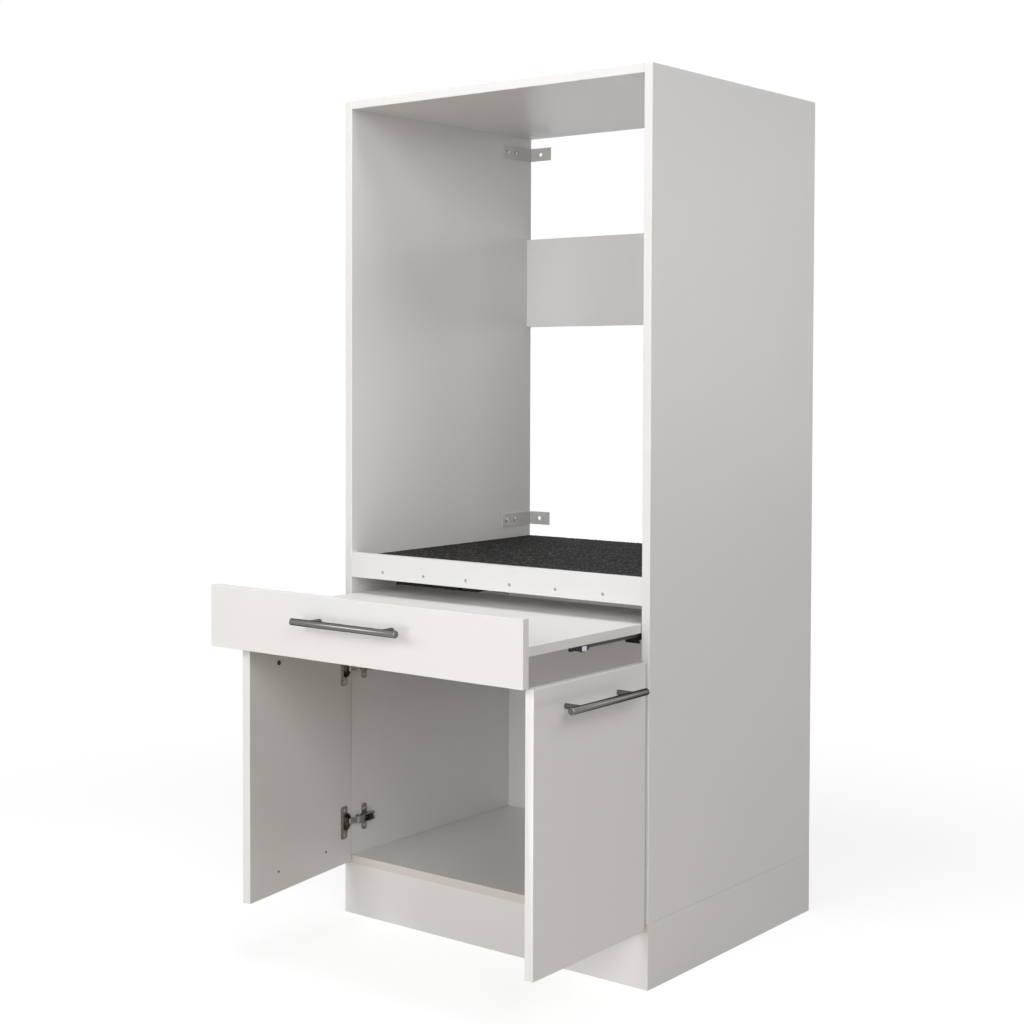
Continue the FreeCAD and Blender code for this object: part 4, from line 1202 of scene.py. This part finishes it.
@dataclass
class Studio:
    """Pale floor, soft light and the camera of the photograph."""

    camera_at: Spot = (1.9361, -2.9589, 1.0748)
    azimuth: float = 41.20
    look_down: float = 1.77
    lens: float = 62.46
    sensor: float = 36.0
    shift: Pair = (0.178, -0.085)
    ambient: float = 0.075
    ambient_tint: Colour = (1.0, 0.985, 0.96)
    floor_size: float = 40.0
    floor_tint: Colour = (0.50, 0.455, 0.40)
    shadow_tint: Colour = (0.36, 0.36, 0.36)
    glow_tint: Colour = (0.78, 0.78, 0.78)
    shadow_range: Pair = (0.9, 2.0)
    lamps: tuple[Lamp, ...] = (
        Lamp("front", (0.0, -4.6, 1.3), (0.0, -0.4, 0.5), 1.0, 22.0, Lamp.NEUTRAL),
        Lamp("high front", (-0.4, -4.3, 2.5), (0.0, -0.5, 0.4), 1.0, 27.0, Lamp.NEUTRAL),
        Lamp("left", (-2.65, -3.85, 1.95), (0.0, -0.7, 0.5), 1.1, 22.0),
        Lamp("beside the camera", (1.5, -4.2, 1.5), (0.0, -0.2, 0.5), 1.2, 24.0, Lamp.WARM),
        Lamp("low front", (0.2, -4.0, 0.2), (0.0, -0.3, 0.3), 0.8, 22.0, Lamp.WARM),
        Lamp("above the board", (0.0, -0.72, 3.3), (0.0, -0.55, 0.64), 0.9, 32.0),
        Lamp("side", (2.3, -0.6, 2.6), (0.345, -0.1, 1.0), 1.2, 12.0),
        Lamp("far right", (4.4, -4.0, 3.0), (0.0, -0.2, 0.7), 2.2, 106.0, Lamp.NEUTRAL),
        Lamp("behind", (0.3, 1.6, 3.0), (0.0, 0.0, 0.9), 1.8, 9.0),
        Lamp("rear right", (2.0, 2.45, 1.3), (0.39, -0.5, 0.53), 1.2, 5.0),
    )

    def build(self) -> None:
        """Make the world, the floor, the lamps and the camera."""
        bpy.context.scene.view_settings.view_transform = "Standard"
        self.light_world()
        self.lay_floor()
        for lamp in self.lamps:
            lamp.hang()
        self.place_camera()

    def light_world(self) -> None:
        """White where it is seen or mirrored, a plain level for the light on the object."""
        world = bpy.data.worlds.new("studio")
        bpy.context.scene.world = world
        graph = Graph(world)
        values = {"Color": self.ambient_tint, "Strength": self.ambient}
        plain = graph.wire("Background", values)
        white = graph.wire("Background", {"Color": WHITE})
        graph.node("OutputWorld", {"Surface": graph.blend(graph.shown(), plain, white)})

    def lay_floor(self) -> None:
        """Lay a pale floor that is white where it is seen, with the object's soft shadow close to it."""
        half = self.floor_size / 2.0
        mesh = bpy.data.meshes.new("floor")
        corners = [(-half, -half, 0.0), (half, -half, 0.0), (half, half, 0.0), (-half, half, 0.0)]
        mesh.from_pydata(corners, [], [(0, 1, 2, 3)])
        floor = bpy.data.objects.new("floor", mesh)
        bpy.context.scene.collection.objects.link(floor)
        graph = Graph.named("pale floor")
        paper = graph.wire("BsdfDiffuse", {"Color": self.floor_tint})
        shaded = graph.wire("BsdfDiffuse", {"Color": self.shadow_tint})
        glow = graph.wire("Emission", {"Color": self.glow_tint})
        white = graph.wire("Emission", {"Color": WHITE})
        near = graph.wire("AddShader", {0: shaded, 1: glow})
        distance = graph.wire("VectorMath", {0: graph.place()}, "Value", operation="LENGTH")
        start, end = self.shadow_range
        values = {"Value": distance, "From Min": start, "From Max": end}
        far = graph.wire("MapRange", values, interpolation_type="SMOOTHSTEP")
        seen = graph.blend(graph.shown(), paper, graph.blend(far, near, white))
        graph.node("OutputMaterial", {"Surface": seen})
        mesh.materials.append(graph.owner)

    def place_camera(self) -> None:
        """Set up the camera where the photograph was taken from."""
        data = bpy.data.cameras.new("camera")
        data.lens = self.lens
        data.sensor_width = self.sensor
        data.shift_x, data.shift_y = self.shift
        camera = bpy.data.objects.new("camera", data)
        camera.location = self.camera_at
        camera.rotation_euler = (math.radians(90.0 - self.look_down), 0.0, math.radians(self.azimuth))
        bpy.context.scene.collection.objects.link(camera)
        bpy.context.scene.camera = camera


def main() -> None:
    """Load the frame, dress it, and build the fittings and the studio."""
    logging.basicConfig(level=logging.INFO, format="%(message)s")
    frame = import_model()
    shop = Workshop(frame)
    Boards(shop).dress()
    Mat(shop).build()
    for prefix in ("pullout", "left_door", "right_door"):
        Handle(shop, prefix).build()
    Fasteners(shop).build()
    for side in Side:
        SpareHoles(shop, side).build()
        Hinges(shop, side).build()
        SlideStop(shop, side).build()
    Catches(shop).build()
    Studio().build()


if __name__ == "__main__":
    main()
